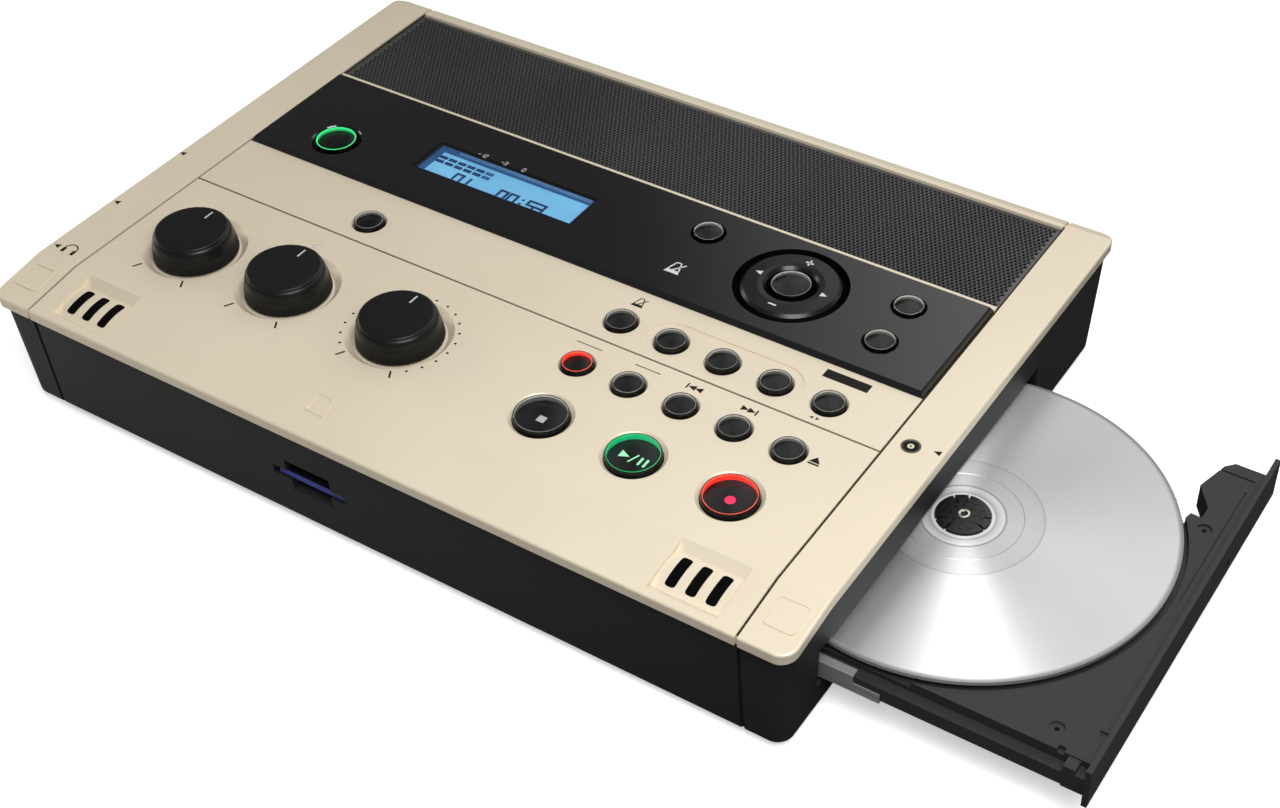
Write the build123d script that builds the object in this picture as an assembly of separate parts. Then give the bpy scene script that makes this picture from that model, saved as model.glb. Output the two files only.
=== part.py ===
from build123d import *
from math import atan, degrees
import os

os.makedirs("parts", exist_ok=True)

# Millimetres. X points to the disc side, Y to the back, Z up from the underside.

# Trim plan and section
width = 282.0
depth = 198.0
deck = 42.5
nose_drop = 2.9
nose = deck - nose_drop
crease = 20.5
rear_run = 3.2
rear_drop = 1.0
trim = 3.3
trim_corner = 5.0
trim_edge = 0.8
rail_width = 15.65
trim_gap = 0.8
trim_gap_depth = 0.8

# Case
overhang = 1.2
wall_lean = 1.6
wall = 2.2
floor = 2.5
case_edge = 2.0
case_gap = 1.3
post_radius = 3.6
screw_radius = 1.5
screw_head = 2.7
screw_sink = 1.4
foot_radius = 6.0
foot_drop = 2.5
foot_seat = 0.8
fit = 0.3

left = -width / 2
right = width / 2
front = -depth / 2
rear = depth / 2
seam = right - rail_width
sheet = deck - trim
wall_top = sheet
through_low = sheet - 5.0
through_high = deck + 10.0

# Display plate and grille
grille_gap = 0.15
grille_half = seam - grille_gap
grille_depth = 45.1
grille_rear = rear - 5.2
grille_front = grille_rear - grille_depth
grille_drop = 1.0
grille_sheet = 0.8
driver_x = grille_half - 56.7
driver_y = grille_rear - 24.3
driver_radius = 17.0
plate_gap = 0.55
plate_half = seam - plate_gap
plate_length = 45.2
plate_rear = grille_front - 2.1
plate_front = plate_rear - plate_length
plate_middle = (plate_front + plate_rear) / 2
plate_sink = 1.0
plate_rise = 1.7
plate_bevel = 1.0
plate_top = deck + plate_rise

# Knobs
knob_x = (left + 40.8, left + 78.5, left + 121.7)
knob_y = front + 47.3
knob_rise = 7.3
knob_skirt = 13.4
knob_shoulder = knob_skirt - 1.3
knob_cap = knob_shoulder - 1.4
knob_lip = 1.5
rib_count = 72
rib_depth = 0.18
pointer_from = 6.0
pointer_to = 9.6
pointer_width = 0.7
dish_depth = 2.0
dish_foot = knob_skirt + 0.5
dish_radius = dish_foot + 2.25
shaft_radius = 3.0
shaft_flat = 1.7
shaft_play = 0.05

# Buttons
small_x = [right - inboard for inboard in (107.6, 90.0, 72.4, 54.8, 37.3)]
lower_y = front + 62.75
upper_y = (lower_y + plate_front) / 2 + 3.525
small_cap = 4.85
small_rise = 1.2
big_x = [right - inboard for inboard in (103.6, 72.6, 41.6)]
big_y = front + 39.5
big_cap = 8.07
big_rise = 1.0
press = 1.0
button_gap = 0.35
stem_radius = 1.6

# Controls on the plate
power_at = (left + 42.2, plate_middle - 9.9)
speaker_at = (right - 107.3, plate_middle + 9.9)
menu_at = (right - 37.5, plate_middle + 9.5)
exit_at = (right - 37.2, plate_middle - 8.75)
nav_at = (right - 72.3, plate_middle + 0.6)
nav_radius = 15.3
nav_groove = nav_radius + 2.4
nav_bore = 7.7
nav_rise = 0.6
enter_shoulder = nav_bore - 0.6
enter_cap = enter_shoulder - 0.7
gimbal_z = plate_top - 6.5
pivot_radius = 0.7
pivot_play = 0.05

# Disc drive
disc_radius = 60.0
disc_hole = 7.5
disc_thick = 1.2
disc_x = right + 6.3
disc_y = front + 24.3 + disc_radius
disc_z = 20.5
slot_front = disc_y - disc_radius - 5.7
slot_rear = disc_y + disc_radius + 4.9
drive_low = disc_z - 9.75
drive_high = disc_z + 2.95
slot_low = drive_low - 0.75
slot_high = drive_high + 0.95
bezel_x = disc_x + disc_radius + 7.5
bezel_thick = 1.6
bezel_front = slot_front + 0.7
bezel_rear = slot_rear - 0.9
bezel_low = slot_low + 0.4
bezel_high = slot_high - 0.6
drive_front = slot_front + 1.2
drive_rear = slot_rear - 1.4
drive_length = 127.7
drive_mouth = right - 4.8
drive_back = drive_mouth - drive_length
drive_side = 0.8
drive_sheet = 0.5
tray_back = disc_x - disc_radius - 0.8
tray_near = disc_y - disc_radius + 0.4
tray_far = disc_y + disc_radius - 20.0
tray_low = drive_low + 1.45
tray_high = disc_z - 0.1
pocket_radius = disc_radius + 1.5
pocket_floor = disc_z - 2.1
strip_near = drive_front + 1.6
strip_high = disc_z - 3.6
rail_back = tray_back - 26.5
rail_end = right + 14.8
rail_flange_end = right + 6.9
rail_near = drive_front + 1.0
rail_low = drive_low + 0.85
rail_sheet = 0.4

# Memory card
card_x = drive_back - 28.0
card_width = 24.2
card_length = 32.0
card_thick = 2.1
card_z = 17.9
card_face = front + 2.7
card_slot = card_width + 2.5
card_slot_x = card_x - 0.75
card_slot_height = card_thick + 0.9

# Circuit boards
board_low = sheet - 10.2
board_thick = 1.6
board_top = board_low + board_thick
board_half = seam - 8.35
main_low = floor + 3.5
main_left = left + 24.0
main_right = drive_back - 6.5
main_front = front + 40.0
main_rear = rear - 24.0


def block(x0, x1, y0, y1, z0, z1):
    middle = ((x0 + x1) / 2, (y0 + y1) / 2, (z0 + z1) / 2)
    return Pos(*middle) * Box(x1 - x0, y1 - y0, z1 - z0)


def barrel(x, y, radius, z0, z1):
    return Pos(x, y, (z0 + z1) / 2) * Cylinder(radius, z1 - z0)


def turned(outline):
    # half section given as (radius, height), turned about Z
    return revolve(make_face(Polyline(*[(r, 0, z) for r, z in outline], close=True)), Axis.Z)


def drawn(outline, x0, x1):
    # section given as (y, z), drawn out along X
    face = make_face(Polyline(*[(x0, y, z) for y, z in outline], close=True))
    return extrude(face, x1 - x0, dir=(1, 0, 0))


def plan(outline, z0, z1):
    face = make_face(Polyline(*[(x, y, z0) for x, y in outline], close=True))
    return extrude(face, z1 - z0, dir=(0, 0, 1))


def well(x, y, hole, mouth, slope, top, low):
    # a straight hole with a conical mouth at its top
    cut = turned([(0, low), (hole, low), (hole, top - slope), (mouth, top), (mouth, top + 5), (0, top + 5)])
    return Pos(x, y, 0) * cut


def save(shape, name, colour):
    shape.label = name
    shape.color = Color(*colour)
    export_step(shape, "parts/" + name + ".step")


def deck_line(lower):
    return [
        (front, nose - lower),
        (front + crease, deck - lower),
        (rear - rear_run, deck - lower),
        (rear, deck - rear_drop - lower),
    ]


def under_deck(lower):
    # everything below the deck's section, lowered by the given amount
    return drawn(deck_line(lower) + [(rear, -5), (front, -5)], -width, width)


def deck_height(y):
    if y < front + crease:
        return nose + (deck - nose) * (y - front) / crease
    return deck - max(0, y - rear + rear_run) * rear_drop / rear_run


def on_top_rim(edge):
    c = edge.center()
    on_side = abs(c.X) > width / 2 - trim_corner or abs(c.Y) > depth / 2 - 0.01
    return on_side and c.Y < rear - rear_run + 0.1 and abs(c.Z - deck_height(c.Y)) < 0.05


def wall_inset(z):
    return overhang + wall_lean * (1 - z / wall_top)


def tapered(extra, z0, z1):
    ends = []
    for z in (z0, z1):
        inset = wall_inset(z) + extra
        ends.append(Pos(0, 0, z) * RectangleRounded(width - 2 * inset, depth - 2 * inset, trim_corner))
    return loft(ends)


def between(shape, x0, x1):
    return shape & block(x0, x1, -depth, depth, -20, 80)


# Cover: one sheet over the whole top, parted at the two seams
outline = extrude(RectangleRounded(width, depth, trim_corner), 60)
cover = (outline & under_deck(0)) - under_deck(trim)
cover = fillet([e for e in cover.edges() if on_top_rim(e)], trim_edge)
cover_core = extrude(
    RectangleRounded(width - 2 * trim_gap_depth, depth - 2 * trim_gap_depth, trim_corner - trim_gap_depth), 60
) & under_deck(trim_gap_depth)
for side in (-seam, seam):
    seam_slit = block(side - trim_gap / 2, side + trim_gap / 2, -depth, depth, 0, 80)
    cover -= seam_slit - cover_core

left_rail = between(cover, -width, -seam)
right_rail = between(cover, seam, width)
panel = between(cover, -seam, seam)

# Shallow floors for the display plate and the grille
panel -= block(-seam, seam, plate_front - 0.2, plate_rear + 0.2, deck - plate_sink, deck + 5)
grille_floor = deck - grille_drop - grille_sheet
panel -= block(-seam, seam, grille_front - 0.1, grille_rear + 0.1, grille_floor, deck + 5)
for side in (-1, 1):
    panel -= barrel(side * driver_x, driver_y, driver_radius, sheet - 1, deck)

# Groove across the deck and the shallow stadium around three buttons
groove_y = (lower_y + upper_y) / 2 + 1.375
panel -= block(-seam, seam, groove_y - 0.35, groove_y + 0.35, deck - 0.5, deck + 1)
stadium_width = 16.4
stadium_depth = 0.4
stadium = Pos((small_x[1] + small_x[3]) / 2, upper_y, deck - stadium_depth) * extrude(
    SlotCenterToCenter(small_x[3] - small_x[1], stadium_width), 2
)
panel -= stadium

# Knob dishes with a hole for each shaft's bushing
bushing_radius = shaft_radius + 0.55
dish = turned([
    (0, deck - dish_depth), (dish_foot, deck - dish_depth), (dish_radius, deck),
    (dish_radius, through_high), (0, through_high),
])
for x in knob_x:
    panel -= Pos(x, knob_y, 0) * dish
    panel -= barrel(x, knob_y, bushing_radius + 0.25, through_low, through_high)

# Peak lamps
peak_at = ((left + 35.15, front + 66.5), (left + 73.0, front + 66.8))
peak_radius = 1.2
for x, y in peak_at:
    panel -= barrel(x, y, peak_radius + 0.05, through_low, through_high)

# Button wells in the deck
guide_at = (left + 79.1, upper_y - 0.1)
small_places = [guide_at] + [(x, upper_y) for x in small_x] + [(x, lower_y) for x in small_x]
small_mouth = small_cap + 0.8
for place in small_places:
    top = deck - stadium_depth if place in [(x, upper_y) for x in small_x[1:4]] else deck
    panel -= well(*place, small_cap + button_gap, small_mouth, 0.7, top, through_low)
big_mouth = big_cap + 1.53
for x in big_x:
    panel -= well(x, big_y, big_cap + button_gap, big_mouth, 1.1, deck, through_low)

# Openings under the plate; each button has its place, cap radius, flare and slope of the well, and rise
plate_buttons = {
    "power": (power_at, 7.0, 1.5, 1.2, 0.7),
    "speaker": (speaker_at, 4.9, 0.73, 0.6, 1.0),
    "menu": (menu_at, small_cap, 0.65, 0.6, 1.0),
    "exit": (exit_at, small_cap, 0.65, 0.6, 1.0),
}
for place, cap, flare, slope, rise in plate_buttons.values():
    panel -= barrel(*place, cap + button_gap, through_low, through_high)
panel -= barrel(*nav_at, nav_groove + 0.5, through_low, through_high)
window = (left + 73.6, left + 134.9, plate_middle - 8.0, plate_middle + 6.3)
window_ledge = 1.6


def around_window(grow, z0, z1):
    return block(window[0] - grow, window[1] + grow, window[2] - grow, window[3] + grow, z0, z1)


panel -= around_window(window_ledge, through_low, through_high)

# Microphone pockets: sloping ends, a floor arched from front to back, three slots
mic_x = seam - 17.75
mic_half = 10.7
pocket_front = front + 2.7
pocket_rear = front + crease - 0.2
floor_front = front + 4.8
floor_rear = front + crease - 3.1
mic_deep = 1.9
mic_arch = 0.8
slot_pitch = 6.2
slot_half = 1.35
slot_span = (front + 6.4, front + crease - 4.6)


def slope_height(y):
    return nose + (deck - nose) * (y - front) / crease


def mic_pocket(x):
    low = (x - mic_half, floor_front, slope_height(floor_front) - mic_deep)
    high = (x - mic_half, floor_rear, slope_height(floor_rear) - mic_deep)
    centre_y = (floor_front + floor_rear) / 2
    crown = (x - mic_half, centre_y, slope_height(centre_y) - mic_arch)
    arch = ThreePointArc(low, crown, high)
    rest = Polyline(
        high,
        (x - mic_half, pocket_rear, slope_height(pocket_rear) + 0.01),
        (x - mic_half, pocket_rear, through_high),
        (x - mic_half, pocket_front, through_high),
        (x - mic_half, pocket_front, slope_height(pocket_front) + 0.01),
        low,
    )
    cut = extrude(make_face([arch] + rest.edges()), 2 * mic_half, dir=(1, 0, 0))
    slot_length = slot_span[1] - slot_span[0]
    for step in (-1, 0, 1):
        slot = extrude(SlotOverall(slot_length, 2 * slot_half, rotation=90), through_high - through_low)
        cut += Pos(x + step * slot_pitch, sum(slot_span) / 2, through_low) * slot
    return cut


for side in (-1, 1):
    panel -= mic_pocket(side * mic_x)

# Bosses down to the panel's circuit board
boss_side = seam - 13.35
boss_row = plate_front - 0.4
inner_boss_x = right - 123.0
board_bosses = [(-boss_side, front + 34), (left + 101, front + 36), (inner_boss_x, front + 34),
                (boss_side, front + 52), (-boss_side, boss_row), (inner_boss_x - 8, boss_row),
                (inner_boss_x, plate_rear - 7.6), (boss_side, boss_row)]
board_boss_radius = 2.5
for x, y in board_bosses:
    panel += barrel(x, y, board_boss_radius, board_top, sheet)

gold = (0.86, 0.80, 0.68)
black = (0.06, 0.06, 0.06)
save(panel, "top_panel", gold)
save(left_rail, "left_rail", gold)
save(right_rail, "right_rail", gold)

# Case: a tapered tub parted at the same seams
case = tapered(0, 0, wall_top)
case = fillet(case.faces().sort_by(Axis.Z)[0].edges(), case_edge)
case &= under_deck(trim)
case -= tapered(wall, floor, wall_top + 1)
case_core = tapered(trim_gap_depth, trim_gap_depth, wall_top)
for side in (-seam, seam):
    case -= block(side - case_gap / 2, side + case_gap / 2, -depth, depth, -5, 80) - case_core

lower = between(case, -seam, seam)
left_cheek = between(case, -width, -seam)
right_cheek = between(case, seam, width)

# Screw posts up to the cover, with sunk heads in the underside
usb_x = right - 121.0
post_side = seam - 4.35
post_row = rear - 10.0
posts = [(-post_side, front + 20), (3 - post_side, post_row), (card_x + 20.5, front + 8),
         (usb_x - 20, post_row), (post_side, front + 15.2), (post_side - 3, post_row)]
screw_end = screw_sink + 22.6
head_sink = 0.6
for x, y in posts:
    lower += barrel(x, y, post_radius, floor, wall_top) & under_deck(trim)
    lower -= barrel(x, y, screw_radius + 0.1, head_sink, screw_end + 6)
    lower -= barrel(x, y, screw_head + 0.2, -1, screw_sink + head_sink)
screws = Part()
for x, y in posts:
    screws += barrel(x, y, screw_head, head_sink, screw_sink + head_sink)
    screws += barrel(x, y, screw_radius, screw_sink, screw_end)

# Feet in shallow seats
foot_x = seam - 17.35
foot_places = [(x, y) for x in (-foot_x, foot_x) for y in (front + 18, rear - 18)]
foot = turned([(0, -foot_drop), (foot_radius - 0.5, -foot_drop), (foot_radius, -foot_drop + 0.5),
               (foot_radius, foot_seat), (0, foot_seat)])
feet = Part()
for x, y in foot_places:
    lower -= barrel(x, y, foot_radius + 0.15, -1, foot_seat)
    feet += Pos(x, y, 0) * foot

# Card slot through a thick pad behind the front wall, with a finger scoop above and below
pad_rear = front + 9.0
pad = block(card_x - 18, card_x + 18, front + 2, pad_rear, floor, card_z + 9.1)
lower += pad & tapered(0.5, 0, wall_top) & under_deck(trim)
lower -= block(
    card_slot_x - card_slot / 2, card_slot_x + card_slot / 2,
    front - 5, pad_rear + 1, card_z - card_slot_height / 2, card_z + card_slot_height / 2,
)
scoop_rear = front + 7.5
scoop_x = card_slot_x + 0.25
scoop_half = 8.3
scoop_foot = card_z - 5.9
lower -= block(scoop_x - scoop_half, scoop_x + scoop_half, front - 5, scoop_rear, card_z, card_z + 5.8)
lower_scoop = [(front - 5, card_z), (scoop_rear, card_z), (scoop_rear, scoop_foot + 2), (front + 2, scoop_foot),
               (front - 5, scoop_foot)]
lower -= drawn(lower_scoop, scoop_x - scoop_half + 1.3, scoop_x + scoop_half - 0.6)

# Pedestals for the drive, the card socket and the main board
for x in (drive_back + 11.5, drive_mouth - 24.2):
    for y in (drive_front + 10.2, drive_rear - 9.8):
        lower += barrel(x, y, 4.0, floor, drive_low)
socket_low = card_z - 3.5
socket_rear = card_face + card_length + 3.8
for x in (card_x - 14, card_x + 14):
    lower += block(x - 2, x + 2, pad_rear, socket_rear - 2.5, floor, socket_low)
for x in (main_left + 5, main_right - 6):
    for y in (main_front + 4, main_rear - 6):
        lower += barrel(x, y, 3.0, floor, main_low)

# Rear sockets and the lock slot
combo_x = (left + 43.0, left + 73.0)
combo_z = sheet - 20.2
combo_radius = 11.8
inlet_x = right - 89.0
lock_x = right - 55.5
socket_z = 16.0
usb_half = 6.0
inlet_radius = 5.5
for x in combo_x:
    lower -= Pos(x, rear, combo_z) * Rot(90, 0, 0) * Cylinder(combo_radius + 0.1, 12)
lower -= block(
    usb_x - usb_half - 0.1, usb_x + usb_half + 0.1, rear - 8, rear + 2,
    socket_z - usb_half + 0.4, socket_z + usb_half - 0.4,
)
lower -= Pos(inlet_x, rear, socket_z) * Rot(90, 0, 0) * Cylinder(inlet_radius + 0.1, 12)
lower -= block(lock_x - 3.5, lock_x + 3.5, rear - 8, rear + 2, socket_z - 1.6, socket_z + 1.6)

# Disc opening in the right cheek
right_cheek -= block(drive_mouth + 0.1, width, slot_front, slot_rear, slot_low, slot_high)

# Side sockets in the left cheek
jack_z = 20.0
phones_y = front + 26.0
mic_jack_y = front + 105.0
phono_y = [front + 44.5, front + 59.5, front + 75.5, front + 90.5]
for y in (phones_y, mic_jack_y):
    left_cheek -= Pos(left, y, jack_z) * Rot(0, 90, 0) * Cylinder(3.1, 16)
for y in phono_y:
    left_cheek -= Pos(left, y, jack_z) * Rot(0, 90, 0) * Cylinder(5.1, 16)

save(lower, "lower_case", black)
save(left_cheek, "left_cheek", black)
save(right_cheek, "right_cheek", black)
save(feet, "rubber_feet", black)
save(screws, "case_screws", (0.3, 0.3, 0.3))

# Display plate with wells, navigation groove and window
rise_angle = degrees(atan(plate_bevel / plate_rise))
plate_outline = Rectangle(2 * plate_half, plate_length)
plate = Pos(0, plate_middle, deck - plate_sink) * extrude(plate_outline, plate_sink)
plate += Pos(0, plate_middle, deck) * extrude(plate_outline, plate_rise, taper=rise_angle)
for place, cap, flare, slope, rise in plate_buttons.values():
    plate -= well(*place, cap + button_gap, cap + flare, slope, plate_top, through_low)
plate -= barrel(*nav_at, nav_groove, through_low, through_high)
lens_rim = 0.7
lens_thick = 1.0
lens_gap = 0.05
plate -= around_window(0, through_low, through_high)
plate -= around_window(lens_rim, plate_top - lens_thick, through_high)
save(plate, "display_plate", black)
save(around_window(lens_rim - lens_gap, plate_top - lens_thick, plate_top), "display_window", (0.5, 0.6, 0.7))

# Display: a glass slab standing up through the panel on a wider frame below it
glass_top = plate_top - 3.5
glass_low = glass_top - 4.7
display = around_window(window_ledge - fit, glass_low, glass_top)
display += around_window(window_ledge + 2.4, glass_low - 0.8, sheet)
save(display, "display_module", (0.4, 0.7, 0.9))

grille = block(-grille_half, grille_half, grille_front, grille_rear, grille_floor, grille_floor + grille_sheet)
save(grille, "speaker_grille", black)

# Loudspeakers: rim, cone and magnet in one turned section
rim_radius = driver_radius + 2.5
magnet_radius = 9.5
magnet_low = sheet - 12.7
cone = turned([
    (0, magnet_low), (magnet_radius, magnet_low), (magnet_radius, sheet - 8.2), (magnet_radius + 2.5, sheet - 7.6),
    (rim_radius - 0.7, sheet - 1.6), (rim_radius, sheet - 1.6), (rim_radius, sheet), (driver_radius, sheet),
    (driver_radius - 0.8, sheet - 1.0), (driver_radius - 1.8, sheet - 0.8), (7.0, sheet - 5.0),
    (5.5, sheet - 4.2), (0, sheet - 3.4),
])
drivers = Part()
for side in (-1, 1):
    drivers += Pos(side * driver_x, driver_y, 0) * cone
save(drivers, "speaker_drivers", (0.15, 0.15, 0.15))

# Mesh behind the microphone slots
insert_front = floor_front + 0.6
insert_rear = floor_rear - 0.5
insert_section = [
    (insert_front, slope_height(insert_front) - trim),
    (insert_rear, slope_height(insert_rear) - trim),
    (insert_rear, slope_height(insert_rear) - trim - 1.2),
    (insert_front, slope_height(insert_front) - trim - 1.2),
]
inserts = Part()
for side in (-1, 1):
    inserts += drawn(insert_section, side * mic_x - 9, side * mic_x + 9)
save(inserts, "mic_inserts", black)

lenses = Part()
for x, y in peak_at:
    lenses += Pos(x, y, 0) * turned([(0, sheet - 1), (1.9, sheet - 1), (1.9, sheet), (peak_radius, sheet),
                                     (peak_radius, deck), (0.7, deck + 0.35), (0, deck + 0.45)])
save(lenses, "peak_lenses", (0.9, 0.9, 0.9))

# Knobs: hollow skirt, raised cap and an inner boss with a flatted bore
boss_radius = shaft_radius + 2.0
boss_foot = deck - 0.4
bore_top = deck + 3.5
hollow_top = deck + 4.3
skirt_wall = 1.9
knob_form = turned([
    (0, boss_foot), (boss_radius, boss_foot), (boss_radius, hollow_top),
    (knob_shoulder - skirt_wall, hollow_top), (knob_skirt - skirt_wall, deck - knob_lip),
    (knob_skirt - 0.3, deck - knob_lip), (knob_skirt, deck - knob_lip + 0.5),
    (knob_shoulder, deck + 5.2), (knob_shoulder - 0.25, deck + 5.75), (knob_cap, deck + 6.45),
    (knob_cap, deck + knob_rise - 0.3), (knob_cap - 0.35, deck + knob_rise), (0, deck + knob_rise),
])
bore_radius = shaft_radius + shaft_play
beyond = 20.0
bore = barrel(0, 0, bore_radius, through_low, bore_top)
knob_form -= bore - block(shaft_flat + shaft_play, beyond, -beyond, beyond, through_low, through_high)

# Finger ribs round the skirt, left between grooves that follow its slope, and the pointer's groove
rib_low = (knob_skirt, deck - knob_lip + 1.2)
rib_high = (knob_shoulder, deck + 5.0)
rib_half = 0.38
rib_ends = []
for radius, height in (rib_low, rib_high):
    outer = radius + rib_depth
    section = [(radius - rib_depth, 0, height), (outer, -2 * rib_half, height), (outer, 2 * rib_half, height)]
    rib_ends.append(make_face(Polyline(*section, close=True)))
rib_groove = loft(rib_ends)
knob_form -= [Rot(0, 0, 360 * i / rib_count) * rib_groove for i in range(rib_count)]
knob_top = deck + knob_rise
knob_form -= block(-pointer_width / 2, pointer_width / 2, pointer_from, pointer_to, knob_top - 0.15, through_high)
shaft_low = board_top + 2.4
shaft = barrel(0, 0, shaft_radius, shaft_low, bore_top - 0.2)
shaft -= block(shaft_flat, beyond, -beyond, beyond, deck - 1.2, through_high)
pot_top = sheet - 0.7
pot_radius = 8.4
pot = barrel(0, 0, pot_radius, board_top, pot_top) + barrel(0, 0, bushing_radius, pot_top, deck - 1.4)
pot -= barrel(0, 0, bore_radius, shaft_low - 0.3, through_high)
pots = Part()
for x, name in zip(knob_x, ("mic", "line", "volume")):
    save(Pos(x, knob_y, 0) * knob_form, name + "_knob", black)
    save(Pos(x, knob_y, 0) * shaft, name + "_shaft", (0.7, 0.7, 0.7))
    pots += Pos(x, knob_y, 0) * pot
save(pots, "knob_pots", (0.6, 0.6, 0.62))

# Buttons: rounded cap, flange under the cover, stem above a switch
switch_height = 4.4
switch_top = board_top + switch_height
stem_foot = switch_top + press + 0.1


def button(cap, top, flange_over=1.1, edge=0.5):
    flange_low = sheet - 1.2
    form = turned([
        (0, stem_foot), (stem_radius, stem_foot), (stem_radius, flange_low),
        (cap + flange_over, flange_low), (cap + flange_over, sheet - 0.15), (cap, sheet - 0.15), (cap, top), (0, top),
    ])
    return fillet(form.edges().sort_by(Axis.Z)[-1], edge)


deck_small = button(small_cap, deck + small_rise)
small_names = {
    "guide_button": guide_at,
    "function_button_1": (small_x[0], upper_y),
    "function_button_2": (small_x[1], upper_y),
    "function_button_3": (small_x[2], upper_y),
    "function_button_4": (small_x[3], upper_y),
    "function_button_5": (small_x[4], upper_y),
    "mode_button_1": (small_x[0], lower_y),
    "mode_button_2": (small_x[1], lower_y),
    "back_button": (small_x[2], lower_y),
    "forward_button": (small_x[3], lower_y),
    "eject_button": (small_x[4], lower_y),
}
for name, place in small_names.items():
    save(Pos(*place, 0) * deck_small, name, black)
deck_big = button(big_cap, deck + big_rise, edge=0.7)
for name, x in zip(("stop_button", "play_button", "record_button"), big_x):
    save(Pos(x, big_y, 0) * deck_big, name, black)
for name, (place, cap, flare, slope, rise) in plate_buttons.items():
    save(Pos(*place, 0) * button(cap, plate_top + rise), name + "_button", black)

# Enter button inside the rocking ring
enter_low = plate_top - 5.8
enter_form = turned([
    (0, stem_foot), (stem_radius, stem_foot), (stem_radius, enter_low), (enter_shoulder, enter_low),
    (enter_shoulder, plate_top - 0.6), (enter_cap, plate_top - 0.6), (enter_cap, plate_top + 0.9), (0, plate_top + 0.9),
])
enter_form = fillet(enter_form.edges().sort_by(Axis.Z)[-1], 0.5)
save(Pos(*nav_at, 0) * enter_form, "enter_button", black)

# Rocking ring: hinged on the gimbal about X, the gimbal hinged on the board about Y
ring_low = plate_top - 4.0
ring_top = plate_top + nav_rise
nav_form = turned([
    (nav_bore, ring_low), (nav_radius, ring_low), (nav_radius, ring_top - 0.9), (nav_radius - 0.9, ring_top - 0.1),
    (nav_bore + 2.5, ring_top + 0.1), (nav_bore + 0.9, ring_top), (nav_bore, ring_top - 0.9),
])
lug_inner = nav_radius - 1.7
lug_outer = nav_radius - 0.3
for side in (-1, 1):
    x0, x1 = sorted((side * lug_inner, side * lug_outer))
    nav_form += block(x0, x1, -1.8, 1.8, gimbal_z - 1.6, ring_low)
nav_form -= Pos(0, 0, gimbal_z) * Rot(0, 90, 0) * Cylinder(pivot_radius + pivot_play, 40)
save(Pos(*nav_at, 0) * nav_form, "nav_ring", black)

gimbal_outer = lug_inner - 0.4
gimbal_inner = nav_bore + 1.9
gimbal = barrel(0, 0, gimbal_outer, gimbal_z - 1.0, gimbal_z + 1.0)
gimbal -= barrel(0, 0, gimbal_inner, through_low, through_high)
pin_x = Pos(0, 0, gimbal_z) * Rot(0, 90, 0) * Cylinder(pivot_radius, 2 * lug_outer)
pin_y = Pos(0, 0, gimbal_z) * Rot(90, 0, 0) * Cylinder(pivot_radius, 2 * lug_outer + 2)
gimbal += (pin_x + pin_y) - barrel(0, 0, (gimbal_inner + gimbal_outer) / 2, through_low, through_high)
save(Pos(*nav_at, 0) * gimbal, "nav_gimbal", (0.5, 0.5, 0.5))

# Panel board with a switch under every button and two posts for the gimbal
board = block(-board_half, board_half, front + 26, plate_rear - 3.6, board_low, board_top)
switch_places = small_places + [(x, big_y) for x in big_x] + [power_at, speaker_at, menu_at, exit_at, nav_at]
switch_half = 3.0
plunger_radius = 1.7
plunger_low = switch_top - 1.0
for x, y in switch_places:
    board += block(x - switch_half, x + switch_half, y - switch_half, y + switch_half, board_top, plunger_low)
    board += barrel(x, y, plunger_radius, plunger_low, switch_top)
for side in (-1, 1):
    y = nav_at[1] + side * lug_outer
    post = block(nav_at[0] - 2, nav_at[0] + 2, y - 1, y + 1, board_top, gimbal_z + 1.4)
    board += post - Pos(*nav_at, gimbal_z) * Rot(90, 0, 0) * Cylinder(pivot_radius + pivot_play, 40)
save(board, "panel_board", (0.05, 0.25, 0.12))

# Main board on its standoffs with a few components
main_top = main_low + board_thick
main = block(main_left, main_right, main_front, main_rear, main_low, main_top)
parts_on_main = [
    (main_left + 37, main_front + 40, 14, 14, 2), (main_left + 67, main_front + 70, 20, 20, 2),
    (main_right - 42, main_front + 20, 12, 10, 3), (main_left + 27, main_rear - 44, 18, 12, 6),
    (main_right - 22, main_rear - 24, 24, 10, 8),
]
for x, y, across, along, high in parts_on_main:
    main += block(x - across / 2, x + across / 2, y - along / 2, y + along / 2, main_top, main_top + high)
save(main, "main_board", (0.05, 0.25, 0.12))

# Drive housing: a flat folded case, open towards the cheek
housing = block(drive_back, drive_mouth, drive_front, drive_rear, drive_low, drive_high)
housing -= block(
    drive_back + drive_side, drive_mouth + 5, drive_front + drive_side, drive_rear - drive_side,
    drive_low + drive_sheet, drive_high - drive_sheet,
)
save(housing, "drive_housing", (0.7, 0.7, 0.72))

# Steel rail: a channel with its upper flange cut back
rail_web = rail_low + 3.3
rail_high = rail_low + 5.9
rail_far = rail_near + 2.8
rail = block(rail_back, rail_end, rail_near, rail_near + rail_sheet, rail_low, rail_web)
rail += block(rail_back, rail_flange_end, rail_near, rail_near + rail_sheet, rail_web, rail_high)
rail += block(rail_back, rail_end, rail_near, rail_far, rail_low, rail_low + rail_sheet)
rail += block(rail_back, rail_flange_end, rail_near, rail_far, rail_high - rail_sheet, rail_high)
save(rail, "slide_rail", (0.6, 0.6, 0.6))

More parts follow.
